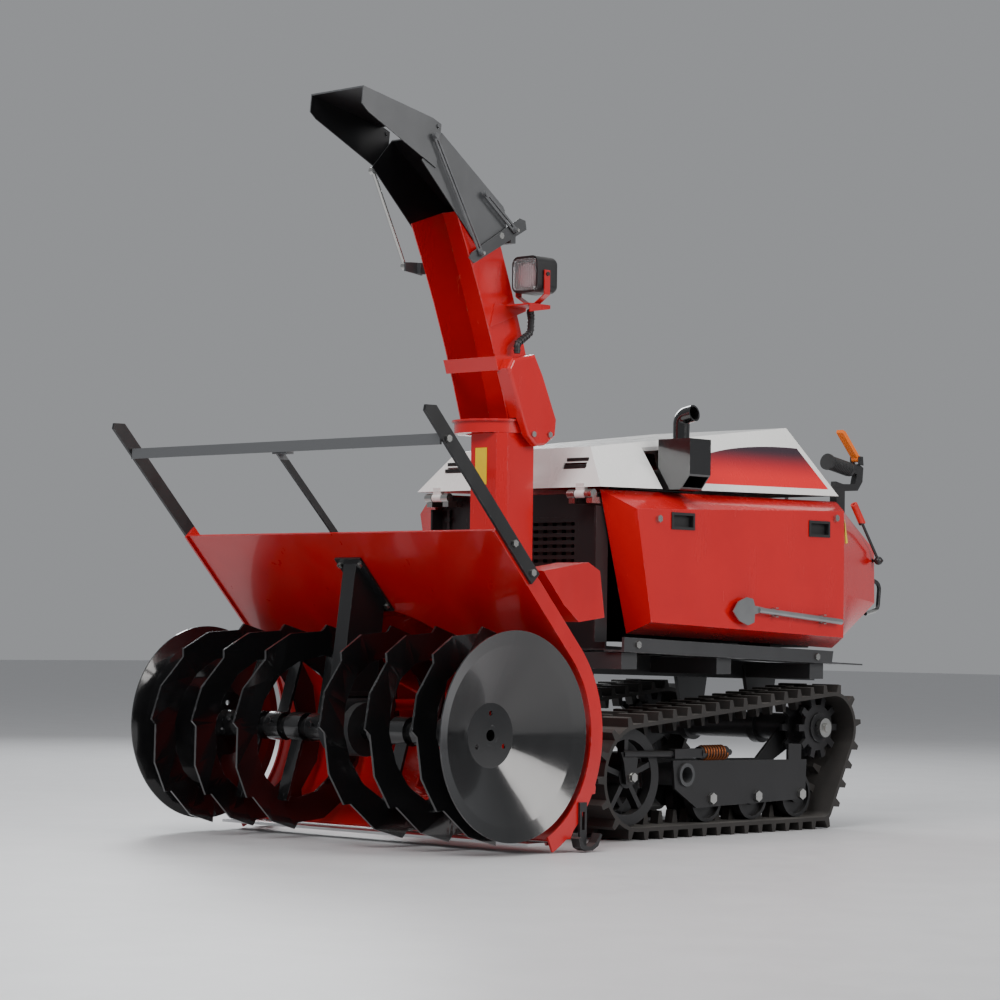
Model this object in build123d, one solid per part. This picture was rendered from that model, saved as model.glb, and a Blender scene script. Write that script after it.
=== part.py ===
"""Two-stage tracked snow blower: twin serrated augers, impeller, turning chute, engine body, rubber tracks.

Millimetres, +Z up, front of the machine towards -Y, +X to the machine's left-hand side.
While it is drawn, the auger axle lies at Y = 0; every part is moved at the end so that the
origin is the middle of the footprint, on the ground.
"""
import math
import os
from build123d import *

# ---------------------------------------------------------------- driving dimensions
CLEARING_WIDTH = 1100          # over the rims of the two side discs
DISC_RADIUS = 248
DISC_DISH = 80                 # how far the hub plate lies inside the rim
DISC_HUB_RADIUS = 77
DISC_BAND_START = 0.86         # where the shallow outer band begins, share of the radius
DISC_THICK = 4
AXLE_HEIGHT = 278
FLIGHT_RADIUS = 256            # tips of the auger teeth
FLIGHT_INNER = 178
FLIGHT_THICK = 6
FLIGHT_TURNS = 2.75
FLIGHT_TEETH = 8               # teeth in one turn
TOOTH_STEP = 16
SHAFT_RADIUS = 24
SHAFT_BORE = 14
SHAFT_FIT = 0.06

HOUSING_GAP = 16               # from the tooth tips to the housing wall
HOUSING_WALL = 5
LIP_Y = -77                    # upper front edge of the sloping panel
LIP_Z = 757
ARC_END_ANGLE = -64            # where the curved back wall stops, degrees below the axle
SIDE_PLATE = 6
SIDE_BAND = 42                 # width of the C-shaped side plate

BAR_WIDTH = 36
BAR_THICK = 8
BAR_LENGTH = 530
BAR_LOW = 170                  # lower end of the bars, along the sloping panel from its lip
BAR_BOLTS = (58, 150)          # bolts of the bars, along the panel
CROSSBAR_ALONG = -272
CROSSBAR_LEG = 30

DRUM_RADIUS = 236              # inside of the impeller drum
DRUM_BACK = 452
DRUM_WALL = 4
IMPELLER_RADIUS = 228
IMPELLER_FRONT = 300
IMPELLER_DEPTH = 120

TOWER_X = 132
TOWER_Y = 390
TOWER_WIDTH = 128
TOWER_DEPTH = 150
TOWER_TOP = 1022
CHUTE_X = 100
CHUTE_Y = 388
CHUTE_WIDTH = 168
CHUTE_DEPTH = 112
CHUTE_WALL = 3
RING_RADIUS = 104
RING_HEIGHT = 30
RING_GAP = 1.0

BODY_HALF = 300                # inner edge of the side covers
COVER_FACE = 388               # outer face of the side covers
COVER_WALL = 3
HOOD_WALL = 4
HOOD_HALF = 328
HOOD_TOP_HALF = 240
RAIL_X = 362

TRACK_FACE = 385               # outer side of the belt
BELT_WIDTH = 180
BELT_THICK = 10
LUG_HEIGHT = 22
GUIDE_HEIGHT = 34
IDLER_Y = 614
IDLER_Z = 158
IDLER_RADIUS = 126
SPROCKET_Y = 1450
SPROCKET_Z = 272
SPROCKET_RADIUS = 84
ROLLER_YS = (960, 1150, 1340)
ROLLER_RADIUS = 62
LUG_PITCH = 58
BELT_BENDS = (700, 1390)       # Y where the straight runs of the belt end
BELT_INSIDE_Z = 205            # a height inside the loop, between its two runs

RUNNING = 0.3                  # gap between parts that move past each other
HALF = CLEARING_WIDTH / 2

# auger ribbon
FLIGHT_START = 74
FLIGHT_END = HALF - DISC_DISH * 0.62
CLAMP_TURNS = (0.22, 0.7, 1.2, 1.7, 2.18)     # where the spokes stand, in turns of the ribbon
PITCH = (FLIGHT_END - FLIGHT_START) / FLIGHT_TURNS

# gearbox, impeller and its drive
WORM_DROP = 58
WORM_RADIUS = 17
WORM_Z = AXLE_HEIGHT + WORM_DROP
IMPELLER_HUB_DISC = 120
PULLEY_Y = 783                  # front face of the two belt pulleys
PULLEY_WIDTH = 31
LOW_PULLEY = 60
TOP_PULLEY = 70
ENGINE_SHAFT_Z = 620
FAN_Z = 722

# chute and deflectors; pivots are (y, z)
CHUTE_BASE = TOWER_TOP + RING_HEIGHT + 2
CHUTE_TOP = 1545
RING_TOP = TOWER_TOP + RING_HEIGHT
DEFLECTOR_HINGE = (302, 1515)
TIP_HINGE = (75, 1762)
STAY_FRONT = (223, 1462)
STAY_REAR = (346, 1532)
LAMP_PIVOT = (368, 1418)
LAMP_OFFSET = 60               # lamp centre out from the side of the channel
LAMP_HALF = 44
LAMP_PIN = 5                   # radius of the lamp's two pivot pins
CONDUIT_RADIUS = 8

# covers and hood; outlines are (y, z)
COVER_BASE = [(569, 888), (1560, 897), (1740, 768), (1744, 618), (1547, 490), (677, 522)]
COVER_OUTER = [(612, 838), (1480, 866), (1482, 740), (1482, 640), (1482, 519), (672, 552)]
HOOD_BASE = [(540, 893), (1556, 912)]
HOOD_TOP = [(598, 1000), (1409, 1096)]
HOOD_HINGE = (548, 876)
EXHAUST_Y = (800, 885)          # front and rear of the exhaust's shield box
HOOD_SWING_ROOM = 65           # room behind the shield for the hood as it swings up
NOTCH_Y = (EXHAUST_Y[0] - 14, EXHAUST_Y[1] + HOOD_SWING_ROOM)
CABLE_RADIUS = 5
SHOVEL_X = 404

# controls
LEVER_XS = (-70, -10, 50)
LEVER_PIVOT = (1640, 804)
CLUTCH_PIVOTS = [(268, 1696, 1024), (-268, 1696, 1024)]
GRIP_FRONT = 1558              # behind the path of the hood's rear edge
SIDE_LEVER = (1726, 737)

# undercarriage and lift cylinder
BELT_MID = TRACK_FACE - BELT_WIDTH / 2
BELT_LOW = LUG_HEIGHT                    # underside of the belt where it lies on the ground
IDLER_CENTRE = (IDLER_Y + 24, BELT_LOW + BELT_THICK + IDLER_RADIUS)
TUBE = (855, 159)
AXLE_BORE = 20
AXLE_TUBE = 36
CYLINDER_FOOT = (905, 196)
CYLINDER_HEAD = (905, 418)

nodes = {}                     # name -> list of solids, still in the drawing position


# ---------------------------------------------------------------- helpers
def block(x, y, z):
    """Box between three (low, high) pairs."""
    size = (x[1] - x[0], y[1] - y[0], z[1] - z[0])
    middle = ((x[0] + x[1]) / 2, (y[0] + y[1]) / 2, (z[0] + z[1]) / 2)
    return Pos(*middle) * Box(*size)


def rod(start, end, radius, bore=0):
    """Cylinder, or tube, from start to end."""
    a, b = Vector(*start), Vector(*end)
    plane = Plane(origin=a, z_dir=(b - a))
    bar = extrude(plane * Circle(radius), (b - a).length)
    if bore:
        bar -= extrude(plane * Circle(bore), (b - a).length)
    return bar


def side_plate(points, x_low, x_high):
    """Flat plate with a (y, z) outline, from x_low to x_high."""
    face = Plane.YZ * make_face(Polyline(*points, close=True))
    return Pos(x_low, 0, 0) * extrude(face, x_high - x_low)


def side_shape(sketch, x_low, x_high):
    """Any sketch drawn in (y, z), from x_low to x_high."""
    return Pos(x_low, 0, 0) * extrude(Plane.YZ * sketch, x_high - x_low)


def ring_x(centre, outer, inner, x_low, x_high):
    """Ring about an axis along X; centre is (y, z)."""
    bar = rod((x_low, *centre), (x_high, *centre), outer, inner)
    return bar


def hex_bolt(place, direction, head=8, grip=4):
    """Hexagon head lying on a face, its axis along direction."""
    plane = Plane(origin=place, z_dir=direction)
    return extrude(plane * RegularPolygon(head, 6), grip)


def frustum(low, high):
    """Solid between two rings of points with the same count."""
    return Solid.make_loft(
        [Wire.make_polygon(low, close=True), Wire.make_polygon(high, close=True)], ruled=True
    )


def turned(y, z, centre, degrees):
    """(y, z) turned about (y, z) centre, from +Y towards +Z."""
    a = math.radians(degrees)
    dy, dz = y - centre[0], z - centre[1]
    return (
        centre[0] + dy * math.cos(a) - dz * math.sin(a),
        centre[1] + dy * math.sin(a) + dz * math.cos(a),
    )


def polar(centre, radius, degrees):
    """Point (y, z) at an angle measured from +Y towards +Z."""
    a = math.radians(degrees)
    return (centre[0] + radius * math.cos(a), centre[1] + radius * math.sin(a))


def mirrored(shape):
    return mirror(shape, about=Plane.YZ)


def add(name, *shapes):
    """Put solids into a node."""
    solids = nodes.setdefault(name, [])
    for shape in shapes:
        solids.extend(shape.solids())


AXLE = (0, AXLE_HEIGHT)
WALL_RADIUS = FLIGHT_RADIUS + HOUSING_GAP

# tangent from the lip to the arc of the back wall
LIP_DISTANCE = math.hypot(LIP_Y, LIP_Z - AXLE_HEIGHT)
LIP_ANGLE = math.degrees(math.atan2(LIP_Z - AXLE_HEIGHT, LIP_Y))
TANGENT_ANGLE = LIP_ANGLE - math.degrees(math.acos(WALL_RADIUS / LIP_DISTANCE))
TANGENT = polar(AXLE, WALL_RADIUS, TANGENT_ANGLE)
PANEL_RUN = math.dist((LIP_Y, LIP_Z), TANGENT)
PANEL_DIR = ((TANGENT[0] - LIP_Y) / PANEL_RUN, (TANGENT[1] - LIP_Z) / PANEL_RUN)
PANEL_OUT = (-PANEL_DIR[1], PANEL_DIR[0])      # normal, away from the augers


def on_panel(along, out):
    """(y, z) at a distance along the sloping panel from its lip, and out behind it."""
    return (
        LIP_Y + PANEL_DIR[0] * along + PANEL_OUT[0] * out,
        LIP_Z + PANEL_DIR[1] * along + PANEL_OUT[1] * out,
    )


def wall_profile(inner, outer, start=0):
    """Closed (y, z) face of the sloping panel and curved wall, inner to outer off the augers' side."""
    ri, ro = WALL_RADIUS + inner, WALL_RADIUS + outer
    a0, a1 = TANGENT_ANGLE, ARC_END_ANGLE
    mid = (a0 + a1) / 2
    with BuildSketch() as sketch:
        with BuildLine():
            Line(on_panel(start, inner), polar(AXLE, ri, a0))
            ThreePointArc(polar(AXLE, ri, a0), polar(AXLE, ri, mid), polar(AXLE, ri, a1))
            Line(polar(AXLE, ri, a1), polar(AXLE, ro, a1))
            ThreePointArc(polar(AXLE, ro, a1), polar(AXLE, ro, mid), polar(AXLE, ro, a0))
            Line(polar(AXLE, ro, a0), on_panel(start, outer))
            Line(on_panel(start, outer), on_panel(start, inner))
        make_face()
    return sketch.sketch


# ---------------------------------------------------------------- augers


def ribbon():
    """Serrated helical ribbon of the +X side, as flat facets, turning about the axle."""
    stations = []
    steps = int(FLIGHT_TURNS * FLIGHT_TEETH)
    for tooth in range(steps):
        first = 360 / FLIGHT_TEETH * tooth
        stations.append((first, FLIGHT_RADIUS - TOOTH_STEP))
        stations.append((first + 180 / FLIGHT_TEETH, FLIGHT_RADIUS - TOOTH_STEP * 0.25))
        stations.append((first + 360 / FLIGHT_TEETH - 3, FLIGHT_RADIUS))
    rings = []
    for angle, outer in stations:
        x = FLIGHT_START + PITCH * angle / 360
        inner_y, inner_z = polar(AXLE, FLIGHT_INNER, angle)
        outer_y, outer_z = polar(AXLE, outer, angle)
        rings.append([
            Vector(x, inner_y, inner_z),
            Vector(x, outer_y, outer_z),
            Vector(x + FLIGHT_THICK, outer_y, outer_z),
            Vector(x + FLIGHT_THICK, inner_y, inner_z),
        ])
    faces = []
    for ring, following in zip(rings, rings[1:]):
        for i in range(4):
            a, b = ring[i], ring[(i + 1) % 4]
            c, d = following[(i + 1) % 4], following[i]
            faces.append(Face(Wire.make_polygon([a, b, c], close=True)))
            faces.append(Face(Wire.make_polygon([a, c, d], close=True)))
    for ring in (rings[0], rings[-1]):
        faces.append(Face(Wire.make_polygon(ring, close=True)))
    return Solid(Shell(faces))


def flight():
    """Ribbon with its flat spokes and the clamps that hold it on the shaft."""
    body = ribbon()
    clamp_radius = SHAFT_RADIUS + 12
    for turn in CLAMP_TURNS:
        angle = 360 * turn
        x = FLIGHT_START + PITCH * turn
        spoke = block((x - 16, x + 22), (clamp_radius - 3, FLIGHT_INNER + 14), (-4, 4))
        spoke = Pos(0, *AXLE) * Rot(angle, 0, 0) * spoke
        clamp = ring_x(AXLE, clamp_radius, SHAFT_RADIUS, x - 22, x + 28)
        body = body.fuse(spoke, clamp)
    return body


def disc():
    """Dished side disc of the +X side with its hub plate and hub tube."""
    hub_x = HALF - DISC_DISH
    band = DISC_RADIUS * DISC_BAND_START
    band_x = HALF - DISC_DISH * 0.16
    t = DISC_THICK
    outline = [
        (hub_x, SHAFT_RADIUS), (hub_x, DISC_HUB_RADIUS), (band_x, band), (HALF, DISC_RADIUS),
        (HALF - t, DISC_RADIUS), (band_x - t * 1.2, band), (hub_x - t, DISC_HUB_RADIUS + t),
        (hub_x - t, SHAFT_RADIUS + 12), (hub_x - 26, SHAFT_RADIUS + 12), (hub_x - 26, SHAFT_RADIUS),
    ]
    face = Plane.XZ * make_face(Polyline(*outline, close=True))
    shape = Pos(0, *AXLE) * revolve(face, Axis.X)
    for i in range(3):
        y, z = polar(AXLE, DISC_HUB_RADIUS * 0.68, 90 + 120 * i)
        shape -= rod((hub_x - 10, y, z), (hub_x + 10, y, z), 6)
    return shape


def augers():
    plus = flight()
    add("auger_flights", plus, mirrored(plus))
    plus = disc()
    add("side_discs", plus, mirrored(plus))
    hub_x = HALF - DISC_DISH
    add("auger_shaft", rod((-hub_x, *AXLE), (hub_x, *AXLE), SHAFT_RADIUS, SHAFT_BORE))
    wheel_radius = WORM_DROP - WORM_RADIUS - 1
    worm_wheel = ring_x(AXLE, wheel_radius, SHAFT_RADIUS, -14, 14)
    for i in range(24):
        y, z = polar(AXLE, wheel_radius, 15 * i + 7.5)
        worm_wheel -= rod((-16, y, z), (16, y, z), 2.2)
    add("auger_shaft", worm_wheel)
    bolts = []
    for turn in CLAMP_TURNS:
        x = FLIGHT_START + PITCH * turn + 3
        y, z = polar(AXLE, SHAFT_RADIUS + 12, 360 * turn + 90)
        direction = (0, y - AXLE[0], z - AXLE[1])
        bolts.append(hex_bolt((x, y, z), direction, 9, 8))
    add("auger_shaft", *bolts, *[mirrored(b) for b in bolts])


# ---------------------------------------------------------------- gearbox and impeller


def gearbox():
    case = ring_x(AXLE, 66, 52, -44, 44)
    case += ring_x(AXLE, 66, SHAFT_RADIUS + SHAFT_FIT, -52, -40)
    case += ring_x(AXLE, 66, SHAFT_RADIUS + SHAFT_FIT, 40, 52)
    case += rod((0, -70, WORM_Z), (0, 120, WORM_Z), 30)
    case -= rod((0, -60, WORM_Z), (0, 100, WORM_Z), 19)
    case -= rod((0, 90, WORM_Z), (0, 130, WORM_Z), 14 + SHAFT_FIT)
    case -= ring_x(AXLE, 52, 0, -40, 40)
    case -= rod((-60, *AXLE), (60, *AXLE), SHAFT_RADIUS + SHAFT_FIT)
    add("gearbox_case", case)
    # the folded column that hangs the gearbox from the sloping panel
    foot = [on_panel(78, -1), on_panel(252, -1), on_panel(252, -7), on_panel(78, -7)]
    flange = side_plate(foot, -45, 45)
    top_front, top_back = on_panel(92, -4), on_panel(236, -4)
    bottom_front, bottom_back = (-62, WORM_Z + 26), (58, WORM_Z + 26)
    web = side_plate([top_front, top_back, bottom_back, bottom_front], -22, -17)
    web += side_plate([top_front, top_back, bottom_back, bottom_front], 17, 22)
    nose = [top_front, on_panel(98, -4), (bottom_front[0] + 6, bottom_front[1]), bottom_front]
    web += side_plate(nose, -22, 22)
    shoe = block((-26, 26), (-62, 58), (WORM_Z + 24, WORM_Z + 34))
    web = (web + shoe + flange) - rod((0, -70, WORM_Z), (0, 120, WORM_Z), 30)
    web -= ring_x(AXLE, 66, 0, -60, 60)
    add("gearbox_column", web)
    bolts = []
    for along in (96, 234):
        for x in (-35, 35):
            y, z = on_panel(along, -7)
            bolts.append(hex_bolt((x, y, z), (0, -PANEL_OUT[0], -PANEL_OUT[1]), 8, 6))
    add("head_bolts", *bolts)


def impeller():
    front, back = IMPELLER_FRONT, IMPELLER_FRONT + IMPELLER_DEPTH
    shaft = rod((0, -56, WORM_Z), (0, PULLEY_Y + PULLEY_WIDTH, WORM_Z), 14)
    shaft += rod((0, PULLEY_Y, WORM_Z), (0, PULLEY_Y + PULLEY_WIDTH, WORM_Z), LOW_PULLEY)
    shaft += rod((0, -30, WORM_Z), (0, 30, WORM_Z), WORM_RADIUS)
    add("impeller", shaft)
    centre = (0, WORM_Z)
    wheel = rod((0, front, WORM_Z), (0, back, WORM_Z), 40, 14)
    wheel += rod((0, back - 6, WORM_Z), (0, back, WORM_Z), IMPELLER_HUB_DISC, 14)
    for i in range(4):
        blade = block((34, IMPELLER_RADIUS), (front, back), (-3, 3))
        blade += block((IMPELLER_RADIUS - 6, IMPELLER_RADIUS), (front, back), (-3, 22))
        wheel += Pos(0, 0, WORM_Z) * Rot(0, 90 * i + 20, 0) * blade
    add("impeller", wheel)


# ---------------------------------------------------------------- housing
def housing():
    drum_axis = WORM_Z
    wall = side_shape(wall_profile(0, HOUSING_WALL), -HALF + SIDE_PLATE - 1, HALF - SIDE_PLATE + 1)
    inlet = rod((0, -100, drum_axis), (0, 520, drum_axis), DRUM_RADIUS)
    wall -= inlet
    add("housing_wall", wall)
    reach = 600
    filled = make_face(Polyline(
        on_panel(-60, HOUSING_WALL), polar(AXLE, WALL_RADIUS + HOUSING_WALL, TANGENT_ANGLE),
        (-reach, TANGENT[1]), (-reach, LIP_Z), close=True))
    keep_out = side_shape(filled, -reach, reach)
    keep_out += ring_x(AXLE, WALL_RADIUS + HOUSING_WALL, 0, -reach, reach)
    drum = rod((0, 20, drum_axis), (0, DRUM_BACK, drum_axis), DRUM_RADIUS + DRUM_WALL, DRUM_RADIUS)
    drum += rod((0, DRUM_BACK, drum_axis), (0, DRUM_BACK + 6, drum_axis), DRUM_RADIUS + DRUM_WALL, 46)
    drum -= keep_out
    tower_outer = block(
        (TOWER_X - TOWER_WIDTH / 2, TOWER_X + TOWER_WIDTH / 2),
        (TOWER_Y - TOWER_DEPTH / 2, TOWER_Y + TOWER_DEPTH / 2 - 14),
        (drum_axis + 90, TOWER_TOP))
    upright = tower_outer.edges().filter_by(Axis.Z)
    tower_outer = chamfer(upright, 20)
    bore = block(
        (TOWER_X - TOWER_WIDTH / 2 + 4, TOWER_X + TOWER_WIDTH / 2 - 4),
        (TOWER_Y - TOWER_DEPTH / 2 + 4, TOWER_Y + TOWER_DEPTH / 2 - 18),
        (drum_axis, TOWER_TOP + 1))
    bore = chamfer(bore.edges().filter_by(Axis.Z), 18)
    drum_solid = rod((0, 20, drum_axis), (0, DRUM_BACK + 6, drum_axis), DRUM_RADIUS + DRUM_WALL)
    tower = tower_outer - bore - drum_solid
    tower = max(tower.solids(), key=lambda s: s.volume)
    add("blower_housing", tower)
    add("blower_housing", max((drum - bore).solids(), key=lambda s: s.volume))
    # C-shaped side plates
    band = wall_profile(HOUSING_WALL - HOUSING_WALL - 6, SIDE_BAND - 8, start=-2)
    plate = side_shape(band, HALF - SIDE_PLATE + 1, HALF + 1)
    heel = side_plate([polar(AXLE, WALL_RADIUS - 2, -50), (276, 178), (284, 152), (282, 137), (256, 134),
                       (214, 67), (196, 32), (134, 32)], HALF - SIDE_PLATE + 1, HALF + 1)
    plate += heel
    plate -= ring_x(AXLE, WALL_RADIUS - 6, 0, HALF - 20, HALF + 20)
    plate = max(plate.solids(), key=lambda s: s.volume)
    add("side_plates", plate, mirrored(plate))
    bottom = polar(AXLE, WALL_RADIUS + HOUSING_WALL, ARC_END_ANGLE)
    blade = block((-HALF + 8, HALF - 8), (56, bottom[0] + 26), (bottom[1] - 10, bottom[1] - 3))
    add("scraper_blade", blade)
    # bracket boxes behind the housing, one each side
    box_points = [(98, 668), (258, 692), (300, 672), (318, 560), (226, 548), (170, 590)]
    box = side_plate(box_points, HALF - 110, HALF - SIDE_PLATE - 2)
    inner = side_plate([(104, 662), (256, 684), (292, 668), (309, 566), (226, 556), (176, 592)],
                       HALF - 106, HALF - SIDE_PLATE - 6)
    box -= inner
    box -= side_shape(wall_profile(-200, HOUSING_WALL + 0.01, start=-100), 0, HALF + 20)
    box = max(box.solids(), key=lambda s: s.volume)
    add("side_plates", box, mirrored(box))


def snow_cutters():
    """Bars that stand up along the sloping edge, the cross bar between them and its stay."""
    corners = [on_panel(BAR_LOW, 2), on_panel(BAR_LOW, 2 + BAR_WIDTH)]
    top = BAR_LOW - BAR_LENGTH
    corners += [on_panel(top + 14, 2 + BAR_WIDTH), on_panel(top - 8, 14), on_panel(top, 2)]
    bar = side_plate(corners, HALF + 1, HALF + 1 + BAR_THICK)
    add("snow_cutters", bar, mirrored(bar))
    y, z = on_panel(CROSSBAR_ALONG, 20)
    width = HALF + 1
    angle = block((-width, width), (y - CROSSBAR_LEG / 2, y + CROSSBAR_LEG / 2), (z, z + 4))
    angle += block((-width, width), (y - CROSSBAR_LEG / 2, y - CROSSBAR_LEG / 2 + 4), (z - 22, z))
    add("snow_cutters", angle)
    lower = side_plate([(y - 11, z - 22), (y + 15, z - 22), on_panel(12, HOUSING_WALL + 18),
                        on_panel(60, HOUSING_WALL + 12), on_panel(60, HOUSING_WALL + 0.2),
                        on_panel(-20, HOUSING_WALL + 0.2)], -15, -9)
    add("snow_cutters", lower + block((-24, 24), (y - 10.9, y + 15), (z - 26, z - 0.01)))
    bolts = []
    for along in BAR_BOLTS:
        by, bz = on_panel(along, 20)
        bolts.append(hex_bolt((HALF + 1 + BAR_THICK, by, bz), (1, 0, 0), 9, 7))
    bolts.append(hex_bolt((HALF + 1 + BAR_THICK, y, z - 8), (1, 0, 0), 9, 7))
    add("head_bolts", *bolts, *[mirrored(b) for b in bolts])


def skids():
    """Shoes beside the scraper, each on a slotted upright that slides on its side plate."""
    x0 = HALF + 1.5
    sole = make_face(Polyline((196, 34), (204, 12), (222, 4), (246, 4), (266, 14), (280, 40),
                              (274, 44), (258, 22), (242, 14), (224, 14), (212, 22), (204, 38), close=True))
    shoe = side_shape(sole, x0, x0 + 26)
    shoe += block((x0, x0 + 6), (222, 246), (10, 118))
    shoe -= block((x0 - 2, x0 + 10), (229, 239), (52, 96))
    add("skid_shoe_left", shoe)
    add("skid_shoe_right", mirrored(shoe))


# ---------------------------------------------------------------- chute
def chute_edge(z):
    """Y of the channel's open front edge at a height."""
    return 350 - 0.3 * (z - CHUTE_BASE) - 0.00018 * (z - CHUTE_BASE) ** 2


def channel(inset, depth_front, z_low, z_high, steps=5):
    """Solid of the channel's outline, inset on three sides."""
    front, back = [], []
    for i in range(steps + 1):
        z = z_low + (z_high - z_low) * i / steps
        y = chute_edge(z)
        lean = 0.36 * CHUTE_DEPTH * (z - CHUTE_BASE) / (CHUTE_TOP - CHUTE_BASE)
        front.append((y - depth_front, z))
        back.append((y + CHUTE_DEPTH - inset, z + lean))
    x0 = CHUTE_X - CHUTE_WIDTH / 2 + inset
    x1 = CHUTE_X + CHUTE_WIDTH / 2 - inset
    return side_shape(make_face(Polyline(*front, *reversed(back), close=True)), x0, x1)


def chute():
    ring = rod((CHUTE_X, CHUTE_Y, TOWER_TOP + RING_GAP), (CHUTE_X, CHUTE_Y, RING_TOP), RING_RADIUS)
    ring += rod((CHUTE_X, CHUTE_Y, RING_TOP), (CHUTE_X, CHUTE_Y, CHUTE_BASE + 3), RING_RADIUS + 6)
    bore_top = RING_TOP + 20
    ring -= rod((CHUTE_X, CHUTE_Y, TOWER_TOP), (CHUTE_X, CHUTE_Y, bore_top), RING_RADIUS - 30)
    add("chute_ring", ring)
    trough = channel(0, 0, CHUTE_BASE + 3, CHUTE_TOP) - channel(CHUTE_WALL, 60, CHUTE_BASE - 20, CHUTE_TOP + 40)
    band_low = 1176
    outer = channel(0, 16, band_low, band_low + 34, 1)
    grown = Pos(CHUTE_X, 0, 0) * scale(Pos(-CHUTE_X, 0, 0) * outer, by=((CHUTE_WIDTH + 14) / CHUTE_WIDTH, 1, 1))
    inside = channel(0, 12.5, band_low - 10, band_low + 50, 1)
    strap = grown - inside
    front_only = block((-100, 400), (0, chute_edge(band_low) + 38), (band_low - 30, band_low + 80))
    strap = max((strap & front_only).solids(), key=lambda s: s.volume)
    strap -= channel(0, 0, CHUTE_BASE, CHUTE_TOP)
    trough += strap
    trough = max(trough.solids(), key=lambda s: s.volume)
    add("chute_channel", trough)
    # drive cover on the side of the channel
    face = CHUTE_X + CHUTE_WIDTH / 2
    cover_line = [(300, 1180), (316, 1206), (398, 1222), (430, 1170), (482, 1062), (478, 1020), (440, 994), (404, 990),
                  (374, 1014), (352, 1062)]
    lid = side_plate(cover_line, face + 1, face + 46)
    lid = fillet(lid.faces().sort_by(Axis.X)[-1].edges(), 9)
    hollow = side_plate([(y * 0.9 + 39.5, z * 0.94 + 66) for y, z in cover_line], face - 5, face + 42)
    lid -= hollow
    lid -= rod((CHUTE_X, CHUTE_Y, 900), (CHUTE_X, CHUTE_Y, CHUTE_BASE + 6), RING_RADIUS + 8)
    lid -= trough
    lid -= block((face - 2, face + 8), (200, 600), (band_low - 4, band_low + 38))
    add("drive_cover", max(lid.solids(), key=lambda s: s.volume))
    add("chute_bolts", hex_bolt((face + 46, 392, 1020), (1, 0, 0), 8, 5), hex_bolt((face + 46, 452, 1022), (1, 0, 0), 8, 5))
    # turning motor under the cover
    motor = rod((face + 22, 404, 1062), (face + 22, 366, 1150), 17)
    add("chute_ring", motor)
    # lamp bracket: tapered channel from the side of the chute
    shelf = block((face, face + 88), (330, 404), (1340, 1344))
    gusset = side_plate([(276, 1284), (290, 1344), (404, 1344), (404, 1334)], face, face + 4)
    outer_gusset = side_plate([(330, 1322), (330, 1344), (404, 1344), (404, 1334)], face + 84, face + 88)
    bracket = gusset + shelf + outer_gusset
    bracket -= trough
    add("lamp_bracket", max(bracket.solids(), key=lambda s: s.volume))
    yoke_x = face + LAMP_OFFSET
    yoke = block((yoke_x - 16, yoke_x + 16), (356, 380), (1344, 1347))
    for side in (-1, 1):
        a = yoke_x + side * 14
        b = yoke_x + side * (LAMP_HALF + 6)
        wing = frustum(
            [(a, 358, 1344), (a, 378, 1344), (a, 378, 1347), (a, 358, 1347)],
            [(b, 358, 1366), (b, 378, 1366), (b, 378, 1369), (b, 358, 1369)])
        yoke += wing
        yoke += block((min(b, b - side * 3), max(b, b - side * 3)), (358, 378), (1366, 1428))
    yoke -= ring_x(LAMP_PIVOT, LAMP_PIN + RUNNING, 0, yoke_x - 60, yoke_x + 60)
    add("lamp_bracket", yoke)
    lamp_body = block((yoke_x - LAMP_HALF, yoke_x + LAMP_HALF), (338, 420), (1372, 1464))
    lamp_body = fillet(lamp_body.edges().filter_by(Axis.Y), 20)
    lamp_body = fillet(lamp_body.faces().sort_by(Axis.Y)[-1].edges(), 16)
    rim = LAMP_HALF - 6
    lamp_body -= block((yoke_x - rim, yoke_x + rim), (330, 346), (1378, 1458))
    lamp_body -= block((yoke_x - rim + 6, yoke_x + rim - 6), (344, 400), (1384, 1452))
    pin_reach = LAMP_HALF + 10
    lamp_body += ring_x(LAMP_PIVOT, LAMP_PIN, 0, yoke_x + LAMP_HALF - 3, yoke_x + pin_reach)
    lamp_body += ring_x(LAMP_PIVOT, LAMP_PIN, 0, yoke_x - pin_reach, yoke_x - LAMP_HALF + 3)
    add("lamp_body", lamp_body)
    glass = block((yoke_x - rim + 0.5, yoke_x + rim - 0.5), (336, 345), (1378.5, 1457.5))
    glass = fillet(glass.edges().filter_by(Axis.Y), 12)
    add("lamp_glass", glass)


def lamp_conduit():
    """Corrugated conduit from the drive cover up to the lamp bracket."""
    x = CHUTE_X + CHUTE_WIDTH / 2 + 24
    path = FilletPolyline((x, 352, 1222), (x, 352, 1246), (x + 4, 396, 1278), (x + 10, 392, 1314),
                          (x + 20, 376, 1331), radius=14)
    tube = sweep(Plane(origin=(x, 352, 1222), z_dir=path % 0) * Circle(CONDUIT_RADIUS), path)
    for i in range(14):
        share = 0.05 + 0.068 * i
        rib = Plane(origin=path @ share, z_dir=path % share) * Circle(CONDUIT_RADIUS + 1.6)
        tube += extrude(rib, 3)
    add("lamp_conduit", tube)


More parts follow.
